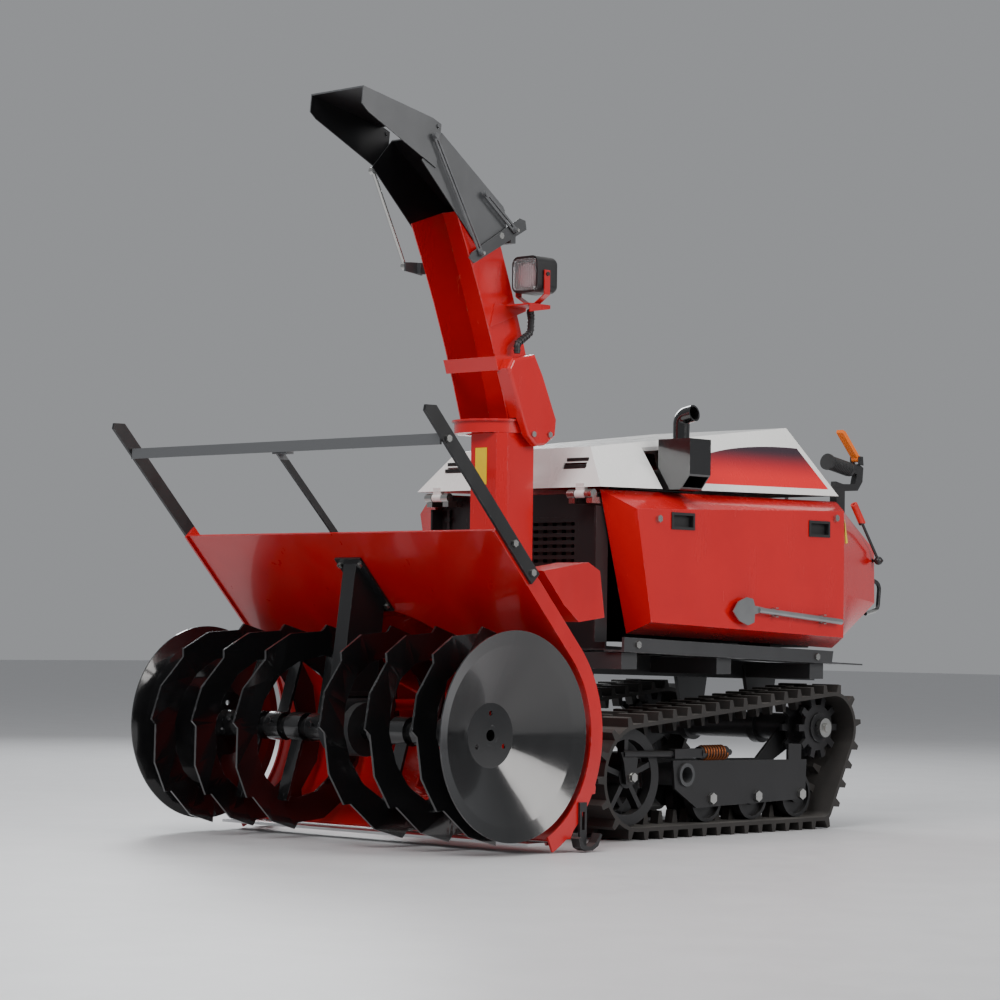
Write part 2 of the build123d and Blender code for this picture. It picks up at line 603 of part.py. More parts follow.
def deflectors():
    left, right = CHUTE_X - CHUTE_WIDTH / 2, CHUTE_X + CHUTE_WIDTH / 2
    gap, wall = 1.2, 3
    lower_side = [(92, 1748), (316, 1590), (328, 1560), (322, 1508), (300, 1496), (222, 1484), (142, 1560), (24, 1672)]
    sides = side_plate(lower_side, right + gap, right + gap + wall)
    sides += side_plate(lower_side, left - gap - wall, left - gap)
    hinge_hole = ring_x(DEFLECTOR_HINGE, 8.3, 0, left - 20, right + 20)
    back = side_plate([(92, 1748), (322, 1582), (320, 1578.4), (90, 1744.4)], left - gap - wall, right + gap + wall)
    add("deflector_lower", (sides + back) - hinge_hole)
    out = gap + wall + 1.0
    tip_side = [(-181, 1826), (56, 1780), (86, 1768), (84, 1744), (69, 1658), (-165, 1766), (-185, 1782)]
    tips = side_plate(tip_side, right + out, right + out + wall) + side_plate(tip_side, left - out - wall, left - out)
    roof = side_plate([(-181, 1826), (56, 1780), (56, 1776), (-181, 1822)], left - out - wall, right + out + wall)
    add("deflector_tip", (tips + roof) - ring_x(TIP_HINGE, 6.3, 0, left - 20, right + 20))
    # hinge pins, one group on each moving piece's own parent
    pins = [ring_x(DEFLECTOR_HINGE, 8, 0, right, right + 14), ring_x(DEFLECTOR_HINGE, 8, 0, left - 14, left)]
    bar = side_plate([(196, 1462), (186, 1448), (204, 1436), (392, 1540), (388, 1562), (366, 1566)], right + 9.6, right + 13.6)
    bar -= ring_x(DEFLECTOR_HINGE, 8, 0, right, right + 14)
    strap = block((left - 13.6, right + 13.6), (334, 352), (1500, 1540))
    strap -= channel(0, 0, CHUTE_BASE, CHUTE_TOP)
    lug = block((CHUTE_X - 20, CHUTE_X + 20), (300, 336), (1484, 1512))
    lug -= channel(0, 0, CHUTE_BASE, CHUTE_TOP)
    lug = max(lug.solids(), key=lambda s: s.volume)
    far_bar = side_plate([(286, 1500), (300, 1486), (352, 1500), (352, 1540), (300, 1536)], left - 13.6, left - 9.6)
    far_bar -= ring_x(DEFLECTOR_HINGE, 8, 0, left - 14, left)
    bracket = bar + strap + lug + far_bar
    add("deflector_bracket", bracket)
    add("chute_bolts", *pins)
    tip_pins = [ring_x(TIP_HINGE, 6, 0, right + gap, right + out + wall + 5),
                ring_x(TIP_HINGE, 6, 0, left - out - wall - 5, left - gap)]
    add("deflector_lower", *tip_pins)
    # slotted stays on the near side, a thin rod on the far side
    x0 = right + 16
    for name, foot, head, wide in (("stay_long", STAY_FRONT, (54, 1735), 14), ("stay_rear", STAY_REAR, (236, 1612), 16)):
        length = math.dist(foot, head)
        angle = math.degrees(math.atan2(head[1] - foot[1], head[0] - foot[0]))
        bar = SlotCenterToCenter(length, wide) - SlotCenterToCenter(length - 30, 5)
        placed = Pos(*((foot[0] + head[0]) / 2, (foot[1] + head[1]) / 2)) * Rot(0, 0, angle) * bar
        stay = side_shape(placed, x0, x0 + 4)
        stay += ring_x(foot, 7, 0, x0 + 4, x0 + 10)
        stay += ring_x(head, 7, 0, x0 + 4, x0 + 10)
        stay -= ring_x(foot, 4 + RUNNING, 0, x0 - 10, x0 + 20)
        add(name, stay)
        add("chute_bolts", ring_x(foot, 4, 0, right + 13.7, x0 + 14))
    foot, head = (164, 1440), (47, 1668)
    far = rod((left - 24, *foot), (left - 24, *head), 5)
    far += ring_x(foot, 9, 0, left - 30.5, left - 17.5)
    far += ring_x(head, 9, 0, left - 30.5, left - 17.5)
    add("stay_far", far)
    ear = side_plate([(154, 1426), (214, 1420), (214, 1452), (176, 1450), (154, 1448)], left - 16, left - 11)
    ear += block((left - 16, left), (196, 214), (1422, 1450))
    ear -= channel(0, 0, CHUTE_BASE, CHUTE_TOP)
    add("deflector_bracket", max(ear.solids(), key=lambda s: s.volume))


# ---------------------------------------------------------------- body


def side_covers():
    outer = frustum([(BODY_HALF, y, z) for y, z in COVER_BASE], [(COVER_FACE, y, z) for y, z in COVER_OUTER])
    cy, cz = 1130, 700
    shrink = 0.985
    inner = frustum(
        [(BODY_HALF - 2, cy + (y - cy) * shrink, cz + (z - cz) * shrink) for y, z in COVER_BASE],
        [(COVER_FACE - COVER_WALL, cy + (y - cy) * 0.992, cz + (z - cz) * shrink) for y, z in COVER_OUTER])
    cover = outer - inner
    for y in (752, 1328):
        cover -= block((COVER_FACE - 20, COVER_FACE + 5), (y, y + 82), (796, 830))
    pin_hole = rod((BODY_HALF - 30, *SIDE_LEVER), (BODY_HALF + 60, *SIDE_LEVER), 7)
    add("side_covers", cover - pin_hole, mirrored(cover))
    frames = []
    for y in (752, 1328):
        frame = block((COVER_FACE - 14, COVER_FACE + 3), (y - 5, y + 87), (791, 835))
        frame -= block((COVER_FACE - 11, COVER_FACE + 4), (y + 2, y + 80), (798, 828))
        frame -= block((COVER_FACE - 15, COVER_FACE + 0.2), (y - 6, y + 0.01), (780, 840))
        frame -= block((COVER_FACE - 15, COVER_FACE + 0.2), (y + 81.99, y + 90), (780, 840))
        frame -= block((COVER_FACE - 15, COVER_FACE + 0.2), (y - 6, y + 90), (780, 796.01))
        frame -= block((COVER_FACE - 15, COVER_FACE + 0.2), (y - 6, y + 90), (829.99, 840))
        frames.append(frame)
    add("cover_fittings", *frames, *[mirrored(f) for f in frames])
    knobs = [hex_bolt((COVER_FACE, 694, 816), (1, 0, 0), 10, 9), hex_bolt((COVER_FACE, 1440, 845), (1, 0, 0), 10, 9)]
    add("cover_fittings", *knobs, *[mirrored(k) for k in knobs])


def hood():
    (fy, fz), (ry, rz) = HOOD_BASE
    (tfy, tfz), (try_, trz) = HOOD_TOP
    rear_half = HOOD_HALF - 16

    def shell(off):
        base = [(-HOOD_HALF + off, fy + off, fz), (HOOD_HALF - off, fy + off, fz),
                (rear_half - off, ry - off, rz), (-rear_half + off, ry - off, rz)]
        top = [(-HOOD_TOP_HALF + off, tfy + off, tfz - off), (HOOD_TOP_HALF - off, tfy + off, tfz - off),
               (HOOD_TOP_HALF - off, try_ - off, trz - off), (-HOOD_TOP_HALF + off, try_ - off, trz - off)]
        return frustum(base, top)

    skin = shell(0) - (Pos(0, 0, -0.5) * shell(HOOD_WALL))
    skin -= block((250, 400), NOTCH_Y, (860, 1036))
    for x in (-250, 170):
        skin -= block((x, x + 80), (540, 640), (942, 958))
    pins = []
    for x in (-256, 256):
        pins.append(rod((x - 42, *HOOD_HINGE), (x + 42, *HOOD_HINGE), 6))
        knuckle = rod((x - 16, *HOOD_HINGE), (x + 16, *HOOD_HINGE), 11, 6 + RUNNING)
        strap = block((x - 14, x + 14), (fy + 1, HOOD_HINGE[0] + 7), (HOOD_HINGE[1] + 6, fz + 10))
        skin += (knuckle + strap) - rod((x - 20, *HOOD_HINGE), (x + 20, *HOOD_HINGE), 6 + RUNNING)
        for side in (-1, 1):
            ear_x = x + side * 30
            ear = rod((ear_x - 12, *HOOD_HINGE), (ear_x + 12, *HOOD_HINGE), 12, 6)
            ear += block((ear_x - 10, ear_x + 10), (HOOD_HINGE[0] - 4, 599.9), (HOOD_HINGE[1] - 24, HOOD_HINGE[1] - 8))
            ear -= rod((ear_x - 14, *HOOD_HINGE), (ear_x + 14, *HOOD_HINGE), 6)
            pins.append(ear)
    add("hood", skin)
    add("hood_hinges", *pins)


def body_frame():
    """Rails under the covers, cross members, and the arms down to the drive axle."""
    rail_line = [(590, 513), (1462, 482), (1455, 447), (589, 476)]
    rail = side_plate(rail_line, RAIL_X, RAIL_X + 8)
    shelf = side_plate([(590, 480), (1456, 451), (1455, 447), (589, 476)], RAIL_X - 60, RAIL_X)
    frame = rail + shelf + mirrored(rail + shelf)
    for y in (600, 980, 1380):
        z = 476 - (y - 590) * 0.0335
        frame += block((-RAIL_X + 10, RAIL_X - 10), (y, y + 60), (z - 44, z - 2))
    for side in (-1, 1):
        beam = side_plate([(560, 478), (1700, 440), (1700, 396), (560, 420)], 118, 124)
        frame += beam if side > 0 else mirrored(beam)
        arm = side_plate([(SPROCKET_Y - 80, 440), (SPROCKET_Y + 70, 440), (SPROCKET_Y + 34, SPROCKET_Z - 14),
                          (SPROCKET_Y, SPROCKET_Z - 36), (SPROCKET_Y - 34, SPROCKET_Z - 14)], 118, 130)
        arm += ring_x((SPROCKET_Y, SPROCKET_Z), 48, 0, 112, 136)
        arm -= ring_x((SPROCKET_Y, SPROCKET_Z), AXLE_TUBE + SHAFT_FIT, 0, 100, 150)
        frame += arm if side > 0 else mirrored(arm)
    frame += rod((-119, *CYLINDER_HEAD), (-72, *CYLINDER_HEAD), 10)
    # neck that carries the auger head, with the bearing of the long shaft behind it
    frame += rod((0, DRUM_BACK + 8, WORM_Z), (0, 650, WORM_Z), 96, 74)
    frame += rod((0, DRUM_BACK + 8, WORM_Z), (0, DRUM_BACK + 18, WORM_Z), 140, 74)
    frame += block((-124, 124), (700, 716), (300, 442))
    frame -= rod((0, 690, WORM_Z), (0, 730, WORM_Z), 14 + SHAFT_FIT)
    add("body_frame", frame)
    deck = side_plate([(600, 483), (1690, 446), (1690, 442), (600, 479)], -RAIL_X + 62, RAIL_X - 62)
    deck -= block((-92, 92), (PULLEY_Y - 9, PULLEY_Y + PULLEY_WIDTH + 9), (430, 500))
    add("body_frame", deck)
    add("cover_fittings", *[s for y, z in ((640, 494), (1385, 466)) for s in
                        (hex_bolt((RAIL_X + 8, y, z), (1, 0, 0), 10, 7),
                         hex_bolt((-RAIL_X - 8, y, z), (-1, 0, 0), 10, 7))])


def engine_bay():
    block_body = block((-170, 170), (820, 1220), (500, 760))
    block_body += block((-110, 110), (850, 1190), (760, 850))
    for y in (880, 960, 1040, 1120):
        block_body -= block((-111, -96), (y, y + 12), (770, 840))
        block_body -= block((96, 111), (y, y + 12), (770, 840))
    add("engine", block_body)
    crank = rod((0, PULLEY_Y - 8, ENGINE_SHAFT_Z), (0, 819.9, ENGINE_SHAFT_Z), 18)
    crank += rod((0, PULLEY_Y, ENGINE_SHAFT_Z), (0, PULLEY_Y + PULLEY_WIDTH, ENGINE_SHAFT_Z), TOP_PULLEY)
    add("engine", crank)
    radiator = block((-210, 210), (640, 700), (500, 850))
    for i in range(12):
        x = -190 + i * 33
        radiator -= block((x, x + 14), (639, 700.1), (530, 820))
    add("radiator", radiator)
    fan = rod((0, 728, FAN_Z), (0, 754, FAN_Z), 30)
    for i in range(6):
        fan += Pos(0, 741, FAN_Z) * Rot(0, 60 * i, 0) * Rot(25, 0, 0) * block((25, 140), (-2, 2), (-26, 26))
    fan += rod((0, 752, FAN_Z), (0, 819.9, FAN_Z), 12)
    add("radiator", fan)
    add("exhaust", rod((150, 824, 905), (150, 1064, 905), 46) + rod((150, 905, 850.1), (150, 905, 870), 16))
    add("fuel_tank", fillet(block((-230, 150), (1290, 1500), (660, 880)).edges(), 18))
    add("battery", block((175, 285), (1290, 1460), (490, 690)) + block((190, 210), (1310, 1330), (690, 702)))
    add("transmission", block((-110, 110), (1240, 1500), (500, 640)) + rod((0, 1220.1, 580), (0, 1240, 580), 40))
    add("drive_belt", belt_loop((0, ENGINE_SHAFT_Z), TOP_PULLEY, (0, WORM_Z), LOW_PULLEY,
                                PULLEY_Y + 2, PULLEY_Y + PULLEY_WIDTH - 2))


def belt_loop(top, top_radius, low, low_radius, y_low, y_high, thick=8):
    """Flat belt round two pulleys that turn about Y; centres are (x, z)."""
    def outline(extra):
        a = Pos(*top) * Circle(top_radius + extra)
        b = Pos(*low) * Circle(low_radius + extra)
        return make_hull((a + b).edges())
    ring = outline(thick) - outline(RUNNING + 0.05)
    return Pos(0, y_high, 0) * extrude(Plane.XZ * ring, y_high - y_low)


def front_cover():
    cover = block((-296, 296), (600, 606), (484, 880))
    cover -= block((-200, 200), (599, 607), (560, 820))
    grille = block((-200, 200), (601, 605), (560, 820))
    for i in range(13):
        z = 570 + i * 19
        grille -= block((-186, 186), (600, 606), (z, z + 9))
    cover += grille
    for side in (-1, 1):
        flank = block((290, 296), (560, 606), (500, 846))
        cover += flank if side > 0 else mirrored(flank)
    add("front_cover", cover)
    route = FilletPolyline((-250, 594, 500), (-250, 594, 700), (-262, 594, 760), (-262, 594, 846), radius=20)
    cable = sweep(Plane(origin=(-250, 594, 500), z_dir=route % 0) * Circle(CABLE_RADIUS), route)
    for z in (540, 640, 820):
        x = -250 if z < 700 else -262
        clip = block((x - 9, x + 9), (588, 599.9), (z - 6, z + 6))
        cable += clip
    add("front_cover", cable)


def exhaust():
    front, rear = EXHAUST_Y
    shield = block((296, 403), (front, rear), (896, 1028))
    corner = [(366, 890), (410, 890), (410, 944)]
    shield -= frustum([(x, front - 1, z) for x, z in corner], [(x, rear + 1, z) for x, z in corner])
    shield -= block((288, 399), (front + 4, rear - 4), (902, 1024))
    shield -= rod((335, 846, 1000), (335, 846, 1040), 24.5)
    add("exhaust", shield)
    path = FilletPolyline((190, 846, 930), (335, 846, 930), (335, 846, 1088), (378, 846, 1096), radius=24)
    pipe = sweep(Plane(origin=path @ 0, z_dir=path % 0) * Circle(22), path)
    bore = sweep(Plane(origin=path @ 0, z_dir=path % 0) * Circle(18), path)
    add("exhaust", pipe - bore)


def console():
    """Rear panel and the two handlebars with their grips."""
    rear = side_plate([(1540, 884), (1560, 893), (1736, 766), (1740, 620), (1546, 494), (1530, 500),
                       (1722, 628), (1718, 760)], -BODY_HALF + 3, BODY_HALF - 3)
    for x in LEVER_XS:
        rear -= block((x - 9, x + 9), (1600, 1704), (760, 900))
    add("rear_panel", rear)
    arms = []
    grips = []
    for side in (-1, 1):
        x = side * 268
        arm = side_plate([(1590, 934), (1624, 930), (1692, 934), (1714, 960), (1718, 1000), (1696, 1010),
                          (1664, 1004), (1668, 984), (1688, 980), (1680, 952), (1624, 950), (1590, 956)],
                         x - 9, x + 9)
        foot = side_plate([(1590, 872), (1628, 844.6), (1628, 937), (1590, 937)], x - 12, x + 12)
        arms.append(arm + foot)
        grips.append(rod((x, 1667, 992), (x, 1562, 1009.6), 19))
        grips.append(rod((x, 1566, 1009), (x, GRIP_FRONT, 1010.3), 23))
    add("handlebars", *arms)
    add("handlebars", grips[0] + grips[1], grips[2] + grips[3])


def levers():
    for name, (x, y, z) in zip(("clutch_lever_left", "clutch_lever_right"), CLUTCH_PIVOTS):
        blade = side_plate([(y - 2, z - 5), (y + 7, z + 1), (y - 66, z + 74), (y - 78, z + 78), (y - 80, z + 70)], x - 11, x + 11)
        eye = ring_x((y, z), 9, 4 + RUNNING, x - 11, x + 11)
        lever = (blade + eye) - ring_x((y, z), 4 + RUNNING, 0, x - 20, x + 20)
        add(name, lever)
        pin = ring_x((y, z), 4, 0, x - 18, x + 18)
        for side in (-1, 1):
            a, b = sorted((x + side * 12, x + side * 17))
            pin += side_plate([(y - 8, z - 15), (y + 12, z - 18), (y + 9, z + 7), (y - 7, z + 7)], a, b)
        add("handlebars", pin)
    y, z = SIDE_LEVER
    x = BODY_HALF + 26
    lever = rod((x, y, z), (x, y - 90, z + 118), 4)
    lever += Pos(x, y, z) * Sphere(12)
    lever -= rod((x - 20, y, z), (x + 20, y, z), 4 + RUNNING)
    add("side_lever", lever)
    grip = rod((x, y - 78, z + 102.3), (x, y - 118, z + 155), 10, 4)
    add("side_lever", grip)
    add("rear_panel", rod((BODY_HALF - 40, y, z), (x + 14, y, z), 4))
    py, pz = LEVER_PIVOT
    for x in LEVER_XS:
        stem = rod((x, py, pz), (x, py + 24, pz + 150), 5)
        stem += Pos(x, py + 26, pz + 162) * Sphere(15)
        stem += ring_x(LEVER_PIVOT, 10, 0, x - 6, x + 6)
        stem -= ring_x(LEVER_PIVOT, 4 + RUNNING, 0, x - 10, x + 10)
        add("control_levers", stem)
    pedestal = rod((-96, py, pz), (76, py, pz), 4)
    for x in (-92, -40, 20, 72):
        pedestal += block((x - 2, x + 2), (py - 12, py + 12), (pz - 14, pz + 6))
    pedestal += block((-96, 76), (py - 20, py + 20), (pz - 24, pz - 14))
    pedestal += block((-60, 40), (py - 10, py + 10), (450, pz - 24))
    add("rear_panel", pedestal)
    loop = []
    for x in (-270, 270):
        path = FilletPolyline((x, 1741, 696), (x, 1808, 672), (x, 1800, 600), (x, 1742, 588), radius=22)
        loop.append(sweep(Plane(origin=(x, 1741, 696), z_dir=path % 0) * Circle(6), path))
    add("cover_fittings", *loop)
    blade_line = [(983, 584), (1004, 610), (1040, 622), (1066, 618), (1074, 600), (1110, 596), (1112, 584),
                  (1074, 578), (1072, 556), (1046, 548), (1008, 560)]
    scoop = side_plate(blade_line, SHOVEL_X - 3, SHOVEL_X)
    scoop += rod((SHOVEL_X - 1.5, 1090, 589), (SHOVEL_X - 1.5, 1452, 562), 8)
    add("shovel", scoop)
    clips = []
    for y in (1160, 1370):
        z = 589 - (y - 1090) * 0.0746
        clip = block((COVER_FACE, SHOVEL_X + 2), (y, y + 12), (z - 13, z + 13))
        clip -= block((SHOVEL_X - 10.5, SHOVEL_X + 20), (y - 1, y + 13), (z - 10, z + 10))
        clips.append(clip)
    add("cover_fittings", *clips)


# ---------------------------------------------------------------- undercarriage


def belt_path(extra):
    """Closed (y, z) face of the belt's line, grown outwards by extra from its inner side."""
    base = BELT_LOW + BELT_THICK
    idler = Pos(IDLER_CENTRE[0], IDLER_CENTRE[1]) * Circle(IDLER_RADIUS + extra)
    rear = Pos(SPROCKET_Y, SPROCKET_Z) * Circle(SPROCKET_RADIUS + 4 + extra)
    heel = Pos(1408, base + 26) * Circle(26 + extra)
    return make_hull((idler + rear + heel).edges())


def belt_teeth(inside, reach, wide, narrow, phase):
    """Row of tapered teeth on one side of the belt's line, in (y, z)."""
    wire = belt_path(BELT_THICK / 2).face().outer_wire()
    count = round(wire.length / LUG_PITCH)
    middle = Vector((IDLER_Y + SPROCKET_Y) / 2, 180)
    teeth = []
    for i in range(count):
        share = ((i + phase) / count) % 1
        at = wire.position_at(share)
        along = wire.tangent_at(share)
        out = Vector(along.Y, -along.X)
        if (Vector(at.X, at.Y) - middle).dot(out) < 0:
            out = -out
        if inside:
            out = -out
        foot = at
        tip = at + out * (BELT_THICK / 2 + reach)
        teeth.append(make_face(Polyline(
            foot - along * wide / 2, foot + along * wide / 2,
            tip + along * narrow / 2, tip - along * narrow / 2, close=True)))
    return teeth


def belt():
    """Rubber loop with staggered ground lugs outside and one row of guide lugs inside.

    It is drawn as two straight runs and two bends that meet face to face.
    """
    middle = TRACK_FACE - BELT_WIDTH / 2
    base = belt_path(BELT_THICK) - belt_path(0)
    above_ground = Pos(1000, 300) * Rectangle(2000, 600)
    halves = []
    for x0, x1, phase in ((TRACK_FACE - BELT_WIDTH, middle, 0), (middle, TRACK_FACE, 0.5)):
        profile = base + belt_teeth(False, LUG_HEIGHT, 22, 12, phase)
        halves.append(side_shape(profile & above_ground, x0, x1))
    row = [side_shape(tooth, middle - 13, middle + 13) for tooth in belt_teeth(True, GUIDE_HEIGHT, 24, 10, 0)]
    whole = (halves[0] + halves[1]).fuse(*row)
    side = (middle - BELT_WIDTH, middle + BELT_WIDTH)
    front, rear = BELT_BENDS
    sections = (
        block(side, (front, rear), (0, BELT_INSIDE_Z)),
        block(side, (front, rear), (BELT_INSIDE_Z, 600)),
        block(side, (0, front), (0, 600)),
        block(side, (rear, 2000), (0, 600)),
    )
    return [whole & section for section in sections]


def wheel(centre, radius, width, hub, bore):
    """Pair of rims each side of the guide lugs, on one hub."""
    y, z = centre
    body = ring_x(centre, hub, bore, BELT_MID - width / 2, BELT_MID + width / 2)
    for side in (-1, 1):
        a, b = sorted((BELT_MID + side * 20, BELT_MID + side * width / 2))
        body += ring_x(centre, radius, bore, a, b)
        c, d = sorted((BELT_MID + side * (width / 2 - 12), BELT_MID + side * (width / 2 + 1)))
        body -= ring_x(centre, radius - 9, hub, c, d)
    return body


def undercarriage():
    for section in belt():
        add("tracks", section, mirrored(section))
    base = BELT_LOW + BELT_THICK
    idler_centre = IDLER_CENTRE
    gap = 1.0
    idler = ring_x(idler_centre, IDLER_RADIUS - gap, 96, BELT_MID + 20, BELT_MID + 46)
    idler += ring_x(idler_centre, IDLER_RADIUS - gap, 96, BELT_MID - 46, BELT_MID - 20)
    idler += ring_x(idler_centre, 28, 12 + SHAFT_FIT, BELT_MID - 46, BELT_MID + 46)
    for i in range(5):
        spoke = block((-44, 44), (20, 100), (-7, 7))
        spoke -= block((-20, 20), (60, 110), (-9, 9))
        idler += Pos(BELT_MID, *idler_centre) * Rot(72 * i + 18, 0, 0) * spoke
    idler -= ring_x(idler_centre, 12 + SHAFT_FIT, 0, 0, 500)
    add("idlers", idler, mirrored(idler))
    sprocket_centre = (SPROCKET_Y, SPROCKET_Z)
    radius = SPROCKET_RADIUS
    sprocket = ring_x(sprocket_centre, 40, AXLE_BORE, BELT_MID - 40, BELT_MID + 40)
    for side in (-1, 1):
        x0, x1 = sorted((BELT_MID + side * 24, BELT_MID + side * 34))
        sprocket += ring_x(sprocket_centre, radius - 22, AXLE_BORE, x0, x1)
        for i in range(10):
            tooth = block((x0, x1), (30, radius), (-9, 9))
            sprocket += Pos(0, *sprocket_centre) * Rot(36 * i, 0, 0) * tooth
    sprocket -= ring_x(sprocket_centre, AXLE_BORE + SHAFT_FIT, 0, 0, 500)
    add("drive_sprockets", sprocket, mirrored(sprocket))
    for i, y in enumerate(ROLLER_YS):
        centre = (y, base + gap + ROLLER_RADIUS)
        roller = wheel(centre, ROLLER_RADIUS, 92, 24, 10 + SHAFT_FIT)
        add(f"track_rollers_{i + 1}", roller, mirrored(roller))
    # side plates of the track frame
    plate_line = [(804, 197), (1365, 188), (1361, 82), (900, 72), (812, 124)]
    frames = []
    for x in (BELT_MID + 52, BELT_MID - 60):
        plate = side_plate(plate_line, x, x + 8)
        plate -= ring_x(TUBE, 30, 0, 0, 500)
        for y in ROLLER_YS:
            plate -= ring_x((y, base + gap + ROLLER_RADIUS), 10, 0, 0, 500)
        frames.append(plate)
    frame = frames[0] + frames[1]
    frame += block((BELT_MID - 53, BELT_MID + 53), (900, 1270), (174, 186))
    arm_line = [(1286, 187), (1364, 184), (SPROCKET_Y + 30, SPROCKET_Z - 34), (SPROCKET_Y + 40, SPROCKET_Z + 10),
                (SPROCKET_Y, SPROCKET_Z + 44), (SPROCKET_Y - 44, SPROCKET_Z + 12)]
    inner_arm = side_plate(arm_line, BELT_MID - 60, BELT_MID - 52)
    inner_arm -= ring_x((SPROCKET_Y, SPROCKET_Z), AXLE_TUBE, 0, 0, 500)
    frame += inner_arm
    frame += side_plate([(1286, 187), (1342, 185), (1342, 230), (1286, 232)], BELT_MID + 52, BELT_MID + 60)
    add("track_frames", frame, mirrored(frame))
    # cross tubes: one at the front through both frames, one that carries the drive axle
    tube = rod((-BELT_MID - 66, *TUBE), (BELT_MID + 66, *TUBE), 30, 21)
    add("cross_members", tube)
    beam = block((-BELT_MID + 60, BELT_MID - 60), (860, 940), (150, 180))
    beam -= ring_x(TUBE, 30, 0, -500, 500)
    lugs = side_plate([(880, 180), (930, 180), (922, 200), (905, 206), (888, 200)], -104, -98)
    lugs += side_plate([(880, 180), (930, 180), (922, 200), (905, 206), (888, 200)], -72, -66)
    lugs += rod((-104, *CYLINDER_FOOT), (-66, *CYLINDER_FOOT), 8)
    add("cross_members", beam + lugs)
    axle_tube = rod((-BELT_MID + 46, SPROCKET_Y, SPROCKET_Z), (BELT_MID - 46, SPROCKET_Y, SPROCKET_Z), AXLE_TUBE, 22)
    add("cross_members", axle_tube)
    for side, label in ((1, "left"), (-1, "right")):
        x_in, x_out = side * (BELT_MID - 110), side * (BELT_MID + 52)
        shaft = rod((x_in, SPROCKET_Y, SPROCKET_Z), (x_out, SPROCKET_Y, SPROCKET_Z), AXLE_BORE)
        shaft += rod((x_out, SPROCKET_Y, SPROCKET_Z), (x_out + side * 8, SPROCKET_Y, SPROCKET_Z), 26)
        shaft += hex_bolt((x_out + side * 8, SPROCKET_Y, SPROCKET_Z), (side, 0, 0), 13, 8)
        add("wheel_pins", shaft)
    tension, forks, springs = [], [], []
    for side in (-1, 1):
        x = side * (BELT_MID + 56)
        pin = rod((side * (BELT_MID - 66), *idler_centre), (side * (BELT_MID + 66), *idler_centre), 12)
        pin += hex_bolt((side * (BELT_MID + 66), *idler_centre), (side, 0, 0), 12, 8)
        fork = rod((x, IDLER_Y - 4, 217), (x, 800, 213), 9)
        ear = side_plate([(600, 222), (664, 222), (664, 196), (652, 140), (622, 140), (612, 196)], x - 4, x + 4)
        ear -= ring_x(idler_centre, 12, 0, -500, 500)
        inner_x = side * (BELT_MID - 56)
        inner = side_plate([(600, 222), (664, 222), (664, 196), (652, 140), (622, 140), (612, 196)], inner_x - 4, inner_x + 4)
        inner -= ring_x(idler_centre, 12, 0, -500, 500)
        forks.append((fork + ear) - ring_x(idler_centre, 12, 0, -500, 500))
        forks.append(inner)
        tension.append(pin)
        forks.append(block((x - 14, x + 14), (800, 910), (202, 226)))
        springs.append(rod((x, 918, 214), (x, 1010, 214), 17, 12))
        forks.append(rod((x, 910, 214), (x, 1040, 214), 8) + rod((x, 910, 214), (x, 918, 214), 17)
                     + rod((x, 1010, 214), (x, 1020, 214), 17))
    add("wheel_pins", *tension)
    add("tensioners", *forks)
    add("tensioners", *springs)
    bolts = []
    for side in (-1, 1):
        for y in ROLLER_YS:
            z = base + gap + ROLLER_RADIUS
            bolt = rod((side * (BELT_MID - 62), y, z), (side * (BELT_MID + 60), y, z), 10)
            bolt += hex_bolt((side * (BELT_MID + 60), y, z), (side, 0, 0), 15, 9)
            bolts.append(bolt)
    add("wheel_pins", *bolts)


def lift_cylinder():
    barrel = rod((-85, CYLINDER_FOOT[0], CYLINDER_FOOT[1] + 13),
                 (-85, CYLINDER_FOOT[0], CYLINDER_FOOT[1] + 175), 24, 12 + RUNNING)
    barrel += ring_x(CYLINDER_FOOT, 15, 8 + SHAFT_FIT, -96, -74)
    barrel -= ring_x(CYLINDER_FOOT, 8 + SHAFT_FIT, 0, -120, -50)
    add("lift_barrel", barrel)
    ram = rod((-85, CYLINDER_HEAD[0], CYLINDER_FOOT[1] + 20),
              (-85, CYLINDER_HEAD[0], CYLINDER_HEAD[1] - 14), 12)
    ram += ring_x(CYLINDER_HEAD, 18, 10, -96, -74)
    ram -= ring_x(CYLINDER_HEAD, 13, 0, -120, -50)
    add("lift_ram", ram)


def build():
    augers()
    gearbox()
    impeller()
    housing()
    snow_cutters()
    skids()
    chute()
    lamp_conduit()
    deflectors()
    side_covers()
    hood()
    body_frame()
    engine_bay()
    front_cover()
    exhaust()
    console()
    levers()
    undercarriage()
    lift_cylinder()


def shift():
    """Vector that puts the origin in the middle of the footprint."""
    boxes = [s.bounding_box() for solids in nodes.values() for s in solids]
    y = (min(b.min.Y for b in boxes) + max(b.max.Y for b in boxes)) / 2
    return Vector(0, -y, 0)


build()
SHIFT = shift()
os.makedirs("parts", exist_ok=True)
for name, solids in nodes.items():
    moved = [Pos(*SHIFT) * s for s in solids]
    export_step(moved[0] if len(moved) == 1 else Compound(children=moved), f"parts/{name}.step")
print(len(nodes), "nodes, moved by", SHIFT)
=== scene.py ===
"""Looks of the tracked snow blower: finishes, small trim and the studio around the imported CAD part."""
import math
import bpy
import bmesh
from mathutils import Matrix, Quaternion, Vector


